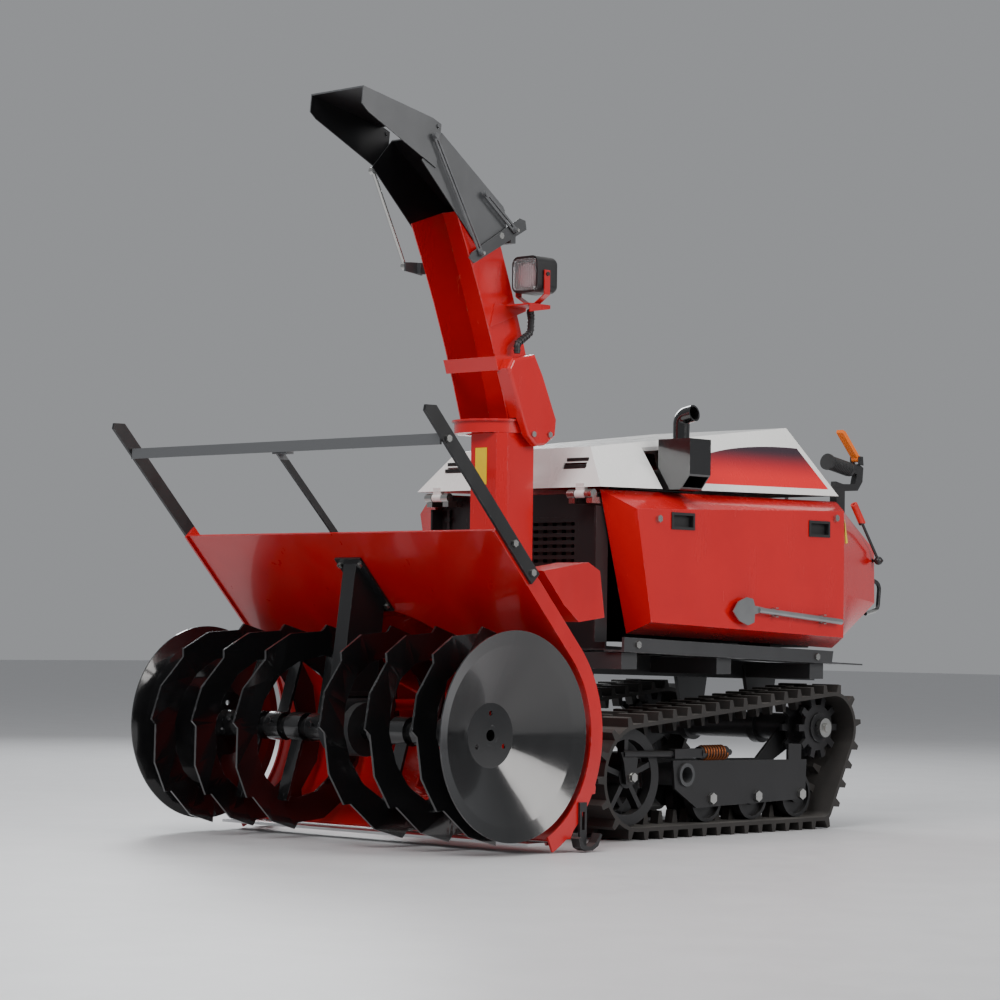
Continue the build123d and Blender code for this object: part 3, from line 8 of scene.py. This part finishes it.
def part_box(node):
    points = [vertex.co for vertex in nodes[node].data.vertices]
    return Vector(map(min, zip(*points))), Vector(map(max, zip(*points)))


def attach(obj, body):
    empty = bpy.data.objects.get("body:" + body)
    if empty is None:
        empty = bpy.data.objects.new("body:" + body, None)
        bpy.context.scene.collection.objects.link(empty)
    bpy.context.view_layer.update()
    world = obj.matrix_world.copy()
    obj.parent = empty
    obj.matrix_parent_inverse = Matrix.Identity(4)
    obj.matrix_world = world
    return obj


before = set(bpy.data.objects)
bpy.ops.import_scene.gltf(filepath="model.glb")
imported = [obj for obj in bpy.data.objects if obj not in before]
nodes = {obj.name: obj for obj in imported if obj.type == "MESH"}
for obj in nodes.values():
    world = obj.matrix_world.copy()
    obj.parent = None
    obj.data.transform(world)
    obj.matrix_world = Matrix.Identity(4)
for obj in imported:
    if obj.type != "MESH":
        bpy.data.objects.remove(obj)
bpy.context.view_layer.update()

# ---------------------------------------------------------------- frame and places
# The drawing has Y = 0 at the auger axle. Sizes are in drawing millimetres unless a comment says metres.
IDLER_AXLE = 0.638             # metres from the auger axle back to the idlers' axle
idler_low, idler_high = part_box("idlers")
DY = (idler_low.y + idler_high.y) / 2 - IDLER_AXLE

EDGE_REACH = 0.0025            # metres that edge wear runs on to a face
DUST = (0.42, 0.40, 0.37)
BARE_GREY = (0.105, 0.108, 0.112)

CHUTE_X = 0.100                # metres, middle of the chute and its deflectors
CROSSBAR_HALF = 0.5485         # metres, half of the cross bar between the snow cutters
CROSSBAR_LOW = 0.93            # metres, all of the cross bar is higher
KNOB_YS = (0.694, 1.440)       # metres behind the auger axle, the side covers' knobs
KNOB_REACH = 0.013
RAIL_FITTINGS_TOP = 0.60       # metres, the fittings lower than this are on the rails
LEVER_GRIP = 0.0585            # metres, height of the side lever's grip

GRIP_X = 268
GRIP_FRONT = 1562
GRIP_FRONT_Z = 1009.6
GRIP_SLOPE = 0.1676            # fall of the grips towards the rear
RIB_START = 1570
RIB_COUNT = 13
RIB_PITCH = 7.0
RIB_WIDTH = 3.4
RIB_DROP = 0.57
RIB_RADIUS = 20.4

SPRING_X = 351
SPRING_Z = 214
SPRING_START = 920
SPRING_TURNS = 8
SPRING_STEPS = 16              # points in each turn
SPRING_PITCH = 11.2
SPRING_RADIUS = 18.5
SPRING_WIRE = 2.6

LAMP_X = 244
LAMP_Z = 1418
REFLECTOR_FRONT = 352
REFLECTOR_DEPTH = 30
REFLECTOR_RADIUS = 31
REFLECTOR_TAPER = 20
REFLECTOR_RINGS = 5

HOOD_FACE_Y = 540              # foot of the hood's front face
HOOD_FACE_Z = 893
HOOD_FACE_SLOPE = 58 / 107
SLOT_X = (178, 252)
SLOT_LOW = 944
SLOT_PITCH = 18
SLOT_HEIGHT = 9


def at(x, y, z):
    """Drawing millimetres to row-frame metres."""
    return Vector((x / 1000, y / 1000 + DY, z / 1000))


# ---------------------------------------------------------------- node helpers
def math_node(tree, op, a, b=0.0, clamp=False):
    """Math node on numbers or sockets."""
    node = tree.nodes.new("ShaderNodeMath")
    node.operation = op
    node.use_clamp = clamp
    for i, value in enumerate((a, b)):
        if isinstance(value, (int, float)):
            node.inputs[i].default_value = value
        else:
            tree.links.new(value, node.inputs[i])
    return node.outputs[0]


def mix_colour(tree, share, a, b):
    """Colour a where share is 0 and b where it is 1."""
    node = tree.nodes.new("ShaderNodeMix")
    node.data_type = "RGBA"
    for key, value in ((0, share), (6, a), (7, b)):
        if isinstance(value, (int, float)):
            node.inputs[key].default_value = value
        elif isinstance(value, tuple):
            node.inputs[key].default_value = (*value, 1.0)
        else:
            tree.links.new(value, node.inputs[key])
    return node.outputs[2]


def noise(tree, where, scale, detail=4.0, rough=0.55):
    node = tree.nodes.new("ShaderNodeTexNoise")
    node.inputs["Scale"].default_value = scale
    node.inputs["Detail"].default_value = detail
    node.inputs["Roughness"].default_value = rough
    tree.links.new(where, node.inputs["Vector"])
    return node.outputs["Fac"]


def spread(tree, value, low, high, to_low, to_high):
    """Value from low to high mapped to to_low and to_high, clamped."""
    node = tree.nodes.new("ShaderNodeMapRange")
    node.inputs["From Min"].default_value = low
    node.inputs["From Max"].default_value = high
    node.inputs["To Min"].default_value = to_low
    node.inputs["To Max"].default_value = to_high
    tree.links.new(value, node.inputs["Value"])
    return node.outputs["Result"]


class Finish:
    """A layered finish: base colour with mottling, worn edges, dust on top faces, fine bump."""

    def __init__(self, name, colour, rough, metallic=0.0, coat=0.0, mottle=0.12, grain=260.0, bump=0.06,
                 dust=0.10, wear=(0.35, 0.35, 0.36), wear_share=0.12, peel=0.0):
        self.material = bpy.data.materials.new(name)
        self.material.use_nodes = True
        self.tree = self.material.node_tree
        self.shader = self.tree.nodes["Principled BSDF"]
        self.coord = self.tree.nodes.new("ShaderNodeTexCoord").outputs["Object"]
        self.face = self.tree.nodes.new("ShaderNodeNewGeometry").outputs["Normal"]
        self.normal = self.object_normal()
        broad = noise(self.tree, self.coord, 5.5, 5.0)
        self.mottled(colour, mottle, broad)
        self.worn_edges(wear, wear_share)
        dusty = self.dusted(dust, broad)
        self.smeared_roughness(rough, dusty)
        self.fine_relief(grain, peel, bump)
        self.shader.inputs["Metallic"].default_value = metallic
        self.shader.inputs["Coat Weight"].default_value = coat
        self.shader.inputs["Coat Roughness"].default_value = 0.06

    def object_normal(self):
        turn = self.tree.nodes.new("ShaderNodeVectorTransform")
        turn.vector_type = "NORMAL"
        turn.convert_from = "WORLD"
        turn.convert_to = "OBJECT"
        self.tree.links.new(self.face, turn.inputs[0])
        split = self.tree.nodes.new("ShaderNodeSeparateXYZ")
        self.tree.links.new(turn.outputs[0], split.inputs[0])
        return split.outputs

    def mottled(self, colour, mottle, broad):
        """Base colour that drifts between a darker and a paler shade."""
        dark = tuple(c * (1 - mottle) for c in colour)
        pale = tuple(min(1.0, c * (1 + mottle * 0.6)) for c in colour)
        self.base = mix_colour(self.tree, spread(self.tree, broad, 0.35, 0.65, 0, 1), dark, pale)

    def worn_edges(self, wear, wear_share):
        """Wear in broken patches along the edges, found by a rounded normal."""
        fine = noise(self.tree, self.coord, 62.0, 6.0, 0.62)
        rounded = self.tree.nodes.new("ShaderNodeBevel")
        rounded.samples = 4
        rounded.inputs["Radius"].default_value = EDGE_REACH
        facing = self.tree.nodes.new("ShaderNodeVectorMath")
        facing.operation = "DOT_PRODUCT"
        self.tree.links.new(rounded.outputs[0], facing.inputs[0])
        self.tree.links.new(self.face, facing.inputs[1])
        edge = spread(self.tree, facing.outputs["Value"], 0.99, 0.90, 0, 1)
        patches = spread(self.tree, fine, 0.50, 0.66, 0, wear_share * 4)
        scuffed = math_node(self.tree, "MULTIPLY", edge, patches, True)
        self.base = mix_colour(self.tree, scuffed, self.base, wear)

    def dusted(self, dust, broad):
        """Dust on faces that look up."""
        up = spread(self.tree, self.normal["Z"], 0.35, 1.0, 0, dust)
        drifts = spread(self.tree, broad, 0.35, 0.7, 0.4, 1.2)
        dusty = math_node(self.tree, "MULTIPLY", up, drifts, True)
        self.base = mix_colour(self.tree, dusty, self.base, DUST)
        self.tree.links.new(self.base, self.shader.inputs["Base Color"])
        return dusty

    def smeared_roughness(self, rough, dusty):
        """Roughness that runs in upright smears and rises under dust."""
        streak = self.tree.nodes.new("ShaderNodeMapping")
        streak.inputs["Scale"].default_value = (1.0, 1.0, 0.22)
        self.tree.links.new(self.coord, streak.inputs["Vector"])
        smear = noise(self.tree, streak.outputs[0], 22.0, 5.0, 0.6)
        smooth = max(0.04, rough - 0.03)
        dull = min(1.0, rough + 0.06)
        roughness = spread(self.tree, smear, 0.3, 0.75, smooth, dull)
        under_dust = math_node(self.tree, "MULTIPLY", dusty, 0.7)
        roughness = math_node(self.tree, "ADD", roughness, under_dust, True)
        self.tree.links.new(roughness, self.shader.inputs["Roughness"])

    def fine_relief(self, grain, peel, bump):
        """Grain, and orange peel where the paint has it."""
        height = noise(self.tree, self.coord, grain, 3.0)
        if peel:
            ripple = math_node(self.tree, "MULTIPLY", noise(self.tree, self.coord, 95.0, 1.0), peel)
            height = math_node(self.tree, "ADD", height, ripple)
        relief = self.tree.nodes.new("ShaderNodeBump")
        relief.inputs["Strength"].default_value = bump
        relief.inputs["Distance"].default_value = 0.0008
        self.tree.links.new(height, relief.inputs["Height"])
        self.tree.links.new(relief.outputs[0], self.shader.inputs["Normal"])

    def recolour(self, share, colour):
        """Another colour where share is 1."""
        self.base = mix_colour(self.tree, share, self.base, colour)
        self.tree.links.new(self.base, self.shader.inputs["Base Color"])

    def place(self):
        """Sockets of the point's X, Y and Z in metres."""
        split = self.tree.nodes.new("ShaderNodeSeparateXYZ")
        self.tree.links.new(self.coord, split.inputs[0])
        return split.outputs


# ---------------------------------------------------------------- finishes
red = Finish("red_enamel", (0.56, 0.004, 0.006), 0.24, coat=0.6, mottle=0.05, bump=0.04, dust=0.025, peel=0.4)
red_plain = Finish("red_frame_enamel", (0.50, 0.004, 0.006), 0.30, coat=0.4, mottle=0.08, bump=0.05,
                   dust=0.04, peel=0.5)
white = Finish("white_enamel", (0.80, 0.80, 0.78), 0.25, coat=0.5, mottle=0.025, bump=0.05, dust=0.05,
               wear=(0.6, 0.6, 0.58), peel=0.5)
gloss_black = Finish("black_enamel", (0.0075, 0.0075, 0.008), 0.17, coat=0.7, mottle=0.2, bump=0.08,
                     dust=0.05, wear=(0.22, 0.22, 0.23), wear_share=0.16, peel=1.0)
satin_black = Finish("black_powder_coat", (0.014, 0.014, 0.015), 0.38, mottle=0.18, grain=420, bump=0.12,
                     dust=0.10, wear=(0.2, 0.2, 0.2))
plastic = Finish("black_moulded", (0.017, 0.017, 0.018), 0.48, mottle=0.12, grain=520, bump=0.18, dust=0.10,
                 wear=(0.06, 0.06, 0.06))
frame_grey = Finish("frame_paint", (0.055, 0.057, 0.060), 0.36, mottle=0.15, bump=0.1, dust=0.12,
                    wear=(0.3, 0.3, 0.31))
rail_grey = Finish("rail_paint", (0.042, 0.043, 0.045), 0.34, mottle=0.1, bump=0.08, dust=0.06)
cutter_black = Finish("cutter_paint", (0.012, 0.012, 0.013), 0.34, mottle=0.15, grain=420, bump=0.1,
                      dust=0.06, wear=(0.2, 0.2, 0.2))
cast = Finish("rough_casting", (0.030, 0.030, 0.032), 0.55, metallic=0.35, mottle=0.25, grain=170, bump=0.5,
              dust=0.12)
steel = Finish("zinc_plate", (0.52, 0.52, 0.50), 0.27, metallic=1.0, mottle=0.14, bump=0.1, dust=0.06,
               wear=(0.7, 0.7, 0.7))
bright = Finish("drawn_steel", (0.58, 0.58, 0.59), 0.20, metallic=1.0, mottle=0.1, grain=600, bump=0.06,
                dust=0.04)
silver = Finish("shovel_steel", (0.36, 0.365, 0.37), 0.33, metallic=0.85, mottle=0.16, bump=0.12, dust=0.07)
rubber = Finish("track_rubber", (0.024, 0.021, 0.019), 0.62, mottle=0.3, grain=300, bump=0.35, dust=0.22,
                wear=(0.07, 0.062, 0.055), wear_share=0.2)
orange = Finish("orange_moulded", (0.78, 0.16, 0.012), 0.34, mottle=0.07, bump=0.08, wear=(0.8, 0.35, 0.15))
red_grip = Finish("red_moulded", (0.55, 0.018, 0.012), 0.36, mottle=0.07, bump=0.1, wear=(0.7, 0.2, 0.15))
copper = Finish("spring_paint", (0.30, 0.085, 0.022), 0.36, metallic=0.7, mottle=0.2, bump=0.1)
yellow = Finish("yellow_film", (0.82, 0.62, 0.015), 0.30, mottle=0.03, bump=0.02, dust=0.03,
                wear=(0.8, 0.65, 0.1))
deflector_grey = Finish("deflector_sheet", BARE_GREY, 0.36, metallic=0.3, mottle=0.12, bump=0.09, dust=0.03)
link_grey = Finish("link_plate", (0.13, 0.133, 0.138), 0.32, metallic=0.4, mottle=0.1, bump=0.08, dust=0.03)
# near-black finish for the hood's grille slots: painted shade standing in for the dark openings
painted_shade_slot = Finish("painted_shade_slots", (0.010, 0.009, 0.009), 0.55, mottle=0.2, bump=0.1, dust=0.02)
fittings = Finish("cover_fitting_black", (0.017, 0.017, 0.018), 0.45, mottle=0.12, grain=520, bump=0.15,
                  dust=0.04, wear=(0.06, 0.06, 0.06))
chrome = Finish("reflector_chrome", (0.86, 0.86, 0.87), 0.06, metallic=1.0, mottle=0.02, bump=0.02, dust=0.0,
                wear=(0.9, 0.9, 0.9))


def inner_faces_painted_shade(finish, centre_x):
    """Painted shade: faces that look towards the duct's middle, or down under its roof, are coloured near
    black.
    """
    tree = finish.tree
    side = math_node(tree, "SUBTRACT", finish.place()["X"], centre_x)
    inward = math_node(tree, "MULTIPLY", side, finish.normal["X"])
    towards = math_node(tree, "LESS_THAN", inward, -0.02)
    below = math_node(tree, "LESS_THAN", finish.normal["Z"], -0.55)
    finish.recolour(math_node(tree, "MAXIMUM", towards, below), (0.010, 0.010, 0.011))


def hood_decal(finish):
    """Swept panel on the hood's flanks: dark at the top, red below, inside a white border."""
    tree = finish.tree
    place = finish.place()
    y = math_node(tree, "SUBTRACT", place["Y"], DY)
    z = place["Z"]
    along = math_node(tree, "DIVIDE", math_node(tree, "SUBTRACT", 1.40, y), 0.50)
    squared = math_node(tree, "MULTIPLY", along, along)
    bow = math_node(tree, "SQRT", math_node(tree, "SUBTRACT", 1.0, squared, True))
    top = math_node(tree, "ADD", 0.922, math_node(tree, "MULTIPLY", bow, 0.118))
    border = math_node(tree, "ADD", 0.905, math_node(tree, "MULTIPLY", y, 0.016))
    rear_line = math_node(tree, "ADD", y, math_node(tree, "MULTIPLY", z, 0.80))
    outward = math_node(tree, "ABSOLUTE", finish.normal["X"])
    share = math_node(tree, "LESS_THAN", z, top)
    for part in (math_node(tree, "GREATER_THAN", z, border), math_node(tree, "LESS_THAN", rear_line, 2.262),
                 math_node(tree, "GREATER_THAN", y, 0.905), math_node(tree, "GREATER_THAN", outward, 0.45)):
        share = math_node(tree, "MULTIPLY", share, part)
    fade = spread(tree, z, 0.945, 1.030, 0, 1)
    fade.node.interpolation_type = "SMOOTHSTEP"
    finish.recolour(share, mix_colour(tree, fade, (0.72, 0.008, 0.012), (0.030, 0.012, 0.022)))


def bright_knobs(finish):
    """Zinc heads on the covers and the rails; the framed grips stay black."""
    tree = finish.tree
    place = finish.place()
    y = math_node(tree, "SUBTRACT", place["Y"], DY)
    near = 0.0
    for centre in KNOB_YS:
        gap = math_node(tree, "ABSOLUTE", math_node(tree, "SUBTRACT", y, centre))
        near = math_node(tree, "ADD", near, math_node(tree, "LESS_THAN", gap, KNOB_REACH))
    low = math_node(tree, "LESS_THAN", place["Z"], RAIL_FITTINGS_TOP)
    share = math_node(tree, "MAXIMUM", near, low)
    finish.recolour(share, (0.52, 0.52, 0.50))
    tree.links.new(share, finish.shader.inputs["Metallic"])
    tree.links.new(spread(tree, share, 0, 1, 0.45, 0.27), finish.shader.inputs["Roughness"])


def steel_crossbar(finish):
    """The cross bar between the two long bars is bare grey steel."""
    tree = finish.tree
    place = finish.place()
    inside = math_node(tree, "LESS_THAN", math_node(tree, "ABSOLUTE", place["X"]), CROSSBAR_HALF)
    high = math_node(tree, "GREATER_THAN", place["Z"], CROSSBAR_LOW)
    finish.recolour(math_node(tree, "MULTIPLY", inside, high), BARE_GREY)


def black_stem(finish):
    """Black stem below the side lever's red grip."""
    grip_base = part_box("side_lever")[1].z - LEVER_GRIP
    stem = math_node(finish.tree, "LESS_THAN", finish.place()["Z"], grip_base)
    finish.recolour(stem, (0.018, 0.018, 0.019))


def ribbed_lens():
    """Clear lamp glass with upright ribs."""
    material = bpy.data.materials.new("ribbed_lens")
    material.use_nodes = True
    tree = material.node_tree
    shader = tree.nodes["Principled BSDF"]
    shader.inputs["Base Color"].default_value = (0.92, 0.94, 0.95, 1)
    shader.inputs["Transmission Weight"].default_value = 0.92
    shader.inputs["Roughness"].default_value = 0.05
    shader.inputs["IOR"].default_value = 1.48
    wave = tree.nodes.new("ShaderNodeTexWave")
    wave.inputs["Scale"].default_value = 42.0
    wave.bands_direction = "X"
    coord = tree.nodes.new("ShaderNodeTexCoord")
    relief = tree.nodes.new("ShaderNodeBump")
    relief.inputs["Strength"].default_value = 0.7
    relief.inputs["Distance"].default_value = 0.002
    tree.links.new(coord.outputs["Object"], wave.inputs["Vector"])
    tree.links.new(wave.outputs["Fac"], relief.inputs["Height"])
    tree.links.new(relief.outputs["Normal"], shader.inputs["Normal"])
    return material


# painted shade: the deflectors' inner and downward faces are coloured near black
inner_faces_painted_shade(deflector_grey, CHUTE_X)
hood_decal(white)
bright_knobs(fittings)
steel_crossbar(cutter_black)
black_stem(red_grip)


# ---------------------------------------------------------------- the CAD parts' finishes
def dress(material, *names, bevel=0.0015):
    """Give CAD parts a material and edges rounded by bevel metres."""
    for name in names:
        piece = nodes[name]
        piece.data.materials.clear()
        piece.data.materials.append(material)
        for polygon in piece.data.polygons:
            polygon.material_index = 0
        if bevel:
            soft = piece.modifiers.new("soft_edges", "BEVEL")
            soft.width = bevel
            soft.segments = 2
            soft.limit_method = "ANGLE"
            soft.angle_limit = math.radians(32)


dress(red.material, "side_covers", "chute_channel", "blower_housing", "chute_ring", bevel=0.0022)
dress(red.material, "drive_cover", bevel=0.002)
dress(red_plain.material, "housing_wall", "side_plates", "impeller", "lamp_bracket")
dress(white.material, "hood", bevel=0.004)
dress(gloss_black.material, "auger_flights", "side_discs", "auger_shaft", bevel=0.0018)
dress(cutter_black.material, "snow_cutters")
dress(satin_black.material, "gearbox_column", "front_cover", "rear_panel", "radiator", "skid_shoe_left",
      "skid_shoe_right", "track_frames", "idlers", "track_rollers_1", "track_rollers_2", "track_rollers_3")
dress(gloss_black.material, "exhaust", bevel=0.003)
dress(fittings.material, "cover_fittings", bevel=0.001)
dress(plastic.material, "handlebars", "control_levers", "lamp_conduit", "fuel_tank", "battery")
dress(frame_grey.material, "cross_members", "lift_barrel", "deflector_bracket")
dress(rail_grey.material, "body_frame")
dress(cast.material, "gearbox_case", "engine", "transmission", "drive_sprockets")
dress(steel.material, "head_bolts", "chute_bolts", "wheel_pins", "hood_hinges", "stay_far", bevel=0.0008)
dress(bright.material, "lift_ram", "scraper_blade", bevel=0.001)
dress(silver.material, "shovel", bevel=0.0012)
dress(rubber.material, "tracks", bevel=0.0025)
dress(rubber.material, "drive_belt", bevel=0)
dress(orange.material, "clutch_lever_left", "clutch_lever_right", bevel=0.002)
dress(red_grip.material, "side_lever")
dress(deflector_grey.material, "deflector_lower", "deflector_tip", bevel=0.0008)
dress(link_grey.material, "stay_long", "stay_rear", bevel=0.001)
dress(satin_black.material, "tensioners", "lamp_body", bevel=0.002)
dress(ribbed_lens(), "lamp_glass", bevel=0.002)


# ---------------------------------------------------------------- small trim
def piece_from(bm, name, finish, body, bevel=0.0, smooth=False):
    """Object from a bmesh, riding on a body."""
    mesh = bpy.data.meshes.new(name)
    bmesh.ops.recalc_face_normals(bm, faces=bm.faces)
    bm.to_mesh(mesh)
    bm.free()
    for polygon in mesh.polygons:
        polygon.use_smooth = smooth
    thing = bpy.data.objects.new(name, mesh)
    bpy.context.scene.collection.objects.link(thing)
    mesh.materials.append(finish.material)
    if bevel:
        soft = thing.modifiers.new("soft_edges", "BEVEL")
        soft.width = bevel
        soft.segments = 2
        soft.limit_method = "ANGLE"
    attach(thing, body)


def add_block(bm, low, high):
    """Box between two drawing-frame corners."""
    a = at(*low)
    b = at(*high)
    middle = (a + b) / 2
    for vert in bmesh.ops.create_cube(bm, size=1.0)["verts"]:
        vert.co = middle + vert.co * (b - a)


def add_rod(bm, start, end, radius, sides, radius_end):
    """Cylinder or cone from start to end, drawing millimetres."""
    a = at(*start)
    b = at(*end)
    turn = (b - a).to_track_quat("Z", "Y").to_matrix().to_4x4()
    bmesh.ops.create_cone(bm, cap_ends=True, segments=sides, radius1=radius / 1000, radius2=radius_end / 1000,
                          depth=(b - a).length, matrix=Matrix.Translation((a + b) / 2) @ turn)


def add_tube(bm, points, radius, sides):
    """Round bar along drawing-frame points."""
    rings = []
    path = [at(*p) for p in points]
    angles = [2 * math.pi * k / sides for k in range(sides)]
    for i, point in enumerate(path):
        ahead = (path[min(i + 1, len(path) - 1)] - path[max(i - 1, 0)]).normalized()
        side = ahead.cross(Vector((0.31, 0.17, 0.94))).normalized()
        lift = side.cross(ahead)
        rings.append([bm.verts.new(point + (side * math.cos(t) + lift * math.sin(t)) * radius / 1000)
                      for t in angles])
    for ring, following in zip(rings, rings[1:]):
        for k in range(sides):
            j = (k + 1) % sides
            bm.faces.new((ring[k], ring[j], following[j], following[k]))
    bm.faces.new(rings[0])
    bm.faces.new(rings[-1])


def plate_on(name, corners, finish, body, thick):
    """Thin plate through drawing-frame corners, raised along its normal."""
    bm = bmesh.new()
    base = [at(*c) for c in corners]
    out = (base[1] - base[0]).cross(base[2] - base[0]).normalized() * thick / 1000
    low = [bm.verts.new(p) for p in base]
    high = [bm.verts.new(p + out) for p in base]
    bm.faces.new(low)
    bm.faces.new(high)
    for i in range(len(base)):
        j = (i + 1) % len(base)
        bm.faces.new((low[i], low[j], high[j], high[i]))
    piece_from(bm, name, finish, body)


def grip_ribs(side, label):
    """Ribs round a handle grip."""
    bm = bmesh.new()
    for i in range(RIB_COUNT):
        y = RIB_START + i * RIB_PITCH
        z = GRIP_FRONT_Z - (y - GRIP_FRONT) * GRIP_SLOPE
        front = (side * GRIP_X, y, z)
        back = (side * GRIP_X, y + RIB_WIDTH, z - RIB_DROP)
        add_rod(bm, front, back, RIB_RADIUS, 32, RIB_RADIUS)
    piece_from(bm, f"grip_ribs_{label}", plastic, "machine_body", 0.0006)


def tension_coil(side, label):
    """Spring round the rod of a track tensioner."""
    points = []
    for i in range(SPRING_TURNS * SPRING_STEPS + 1):
        turn = i / SPRING_STEPS
        angle = 2 * math.pi * turn
        x = side * SPRING_X + SPRING_RADIUS * math.cos(angle)
        z = SPRING_Z + SPRING_RADIUS * math.sin(angle)
        points.append((x, SPRING_START + SPRING_PITCH * turn, z))
    bm = bmesh.new()
    add_tube(bm, points, SPRING_WIRE, 8)
    piece_from(bm, f"tension_coil_{label}", copper, "undercarriage", smooth=True)


def rear_flank(share, run):
    """Point on the left cover's rear flank: share down its edge, run mm behind the outer face."""
    start = Vector((388, 1482, 866 - 126 * share))
    end = Vector((300, 1560 + 180 * share, 897 - 129 * share))
    return start.lerp(end, run / (end - start).length) + Vector((0.8, 0.28, 0))


def reflector_radius(share):
    return REFLECTOR_RADIUS - REFLECTOR_TAPER * share ** 1.5


def lamp_reflector():
    """Stepped bowl behind the lamp glass."""
    bm = bmesh.new()
    step = 1 / REFLECTOR_RINGS
    for i in range(REFLECTOR_RINGS):
        share = i / REFLECTOR_RINGS
        front = (LAMP_X, REFLECTOR_FRONT + REFLECTOR_DEPTH * share, LAMP_Z)
        back = (LAMP_X, REFLECTOR_FRONT + REFLECTOR_DEPTH * (share + step), LAMP_Z)
        add_rod(bm, front, back, reflector_radius(share), 32, reflector_radius(share + step))
    piece_from(bm, "lamp_reflector", chrome, "lamp")


def hood_slot(side, label, row):
    """Slot of a grille on the hood's front face: a near-black block of painted shade where the opening is."""
    x0, x1 = sorted((side * SLOT_X[0], side * SLOT_X[1]))
    z = SLOT_LOW + row * SLOT_PITCH
    y = HOOD_FACE_Y + (z - HOOD_FACE_Z) * HOOD_FACE_SLOPE
    bm = bmesh.new()
    add_block(bm, (x0, y - 1.2, z), (x1, y + 3, z + SLOT_HEIGHT))
    piece_from(bm, f"hood_slot_{label}_{row + 1}", painted_shade_slot, "hood_body", 0.0008)


SIDES = ((1, "left"), (-1, "right"))
for side, label in SIDES:
    grip_ribs(side, label)
for side, label in SIDES:
    tension_coil(side, label)

# plain yellow films, with no lettering
plate_on("tower_film", [(104, 314.6, 892), (144, 314.6, 892), (144, 314.6, 985), (104, 314.6, 985)], yellow,
         "auger_head", 0.5)
rear_film_corners = [rear_flank(0.22, 14), rear_flank(0.22, 38), rear_flank(0.72, 38), rear_flank(0.72, 14)]
plate_on("rear_film", rear_film_corners, yellow, "machine_body", -0.5)

lamp_reflector()
for side, label in SIDES:
    for row in range(2):
        hood_slot(side, label, row)

# ---------------------------------------------------------------- studio
bpy.ops.mesh.primitive_plane_add(size=60, location=(0, 0, 0))
floor = bpy.context.object
floor.name = "studio_floor"
floor_finish = Finish("studio_floor_finish", (0.60, 0.60, 0.61), 0.42, mottle=0.03, grain=30, bump=0.02,
                      dust=0.0)
floor.data.materials.append(floor_finish.material)

world = bpy.data.worlds.new("studio")
bpy.context.scene.world = world
world.use_nodes = True
sky = world.node_tree.nodes["Background"]
sky.inputs["Color"].default_value = (0.80, 0.82, 0.85, 1)
sky.inputs["Strength"].default_value = 0.38


def area_light(name, place, target, size, power, colour=(1, 1, 1)):
    """Soft rectangular light, in metres and watts."""
    data = bpy.data.lights.new(name, "AREA")
    data.shape = "RECTANGLE"
    data.size, data.size_y = size
    data.energy = power
    data.color = colour
    thing = bpy.data.objects.new(name, data)
    bpy.context.scene.collection.objects.link(thing)
    thing.location = place
    thing.rotation_euler = (Vector(target) - Vector(place)).to_track_quat("-Z", "Y").to_euler()


area_light("key_light", (1.2, -4.6, 4.8), (0, 0, 0.7), (3.4, 2.4), 250)
area_light("side_light", (5.2, 0.8, 2.8), (0, 0.1, 0.7), (3.2, 2.2), 170, (1.0, 0.98, 0.96))
area_light("rim_light", (-4.2, 2.6, 3.4), (0, 0, 1.0), (2.6, 2.0), 170, (0.95, 0.98, 1.0))
area_light("top_light", (0, 0.2, 5.4), (0, 0.2, 0), (3.0, 3.0), 130)

# ---------------------------------------------------------------- camera
AZIMUTH = math.radians(43.5)
PITCH = math.radians(2.56)
ROLL = math.radians(-0.807)

camera_data = bpy.data.cameras.new("camera")
camera = bpy.data.objects.new("camera", camera_data)
bpy.context.scene.collection.objects.link(camera)
bpy.context.scene.camera = camera
camera_data.sensor_width = 36
camera_data.lens = 105.8
camera_data.dof.use_dof = False
camera_data.clip_start = 0.1
camera_data.clip_end = 100
ahead = Vector((-math.sin(AZIMUTH) * math.cos(PITCH), math.cos(AZIMUTH) * math.cos(PITCH), math.sin(PITCH)))
camera.rotation_mode = "QUATERNION"
camera.rotation_quaternion = Quaternion(ahead, ROLL) @ ahead.to_track_quat("-Z", "Y")
camera.location = (5.252, -5.018 + DY, 0.523)
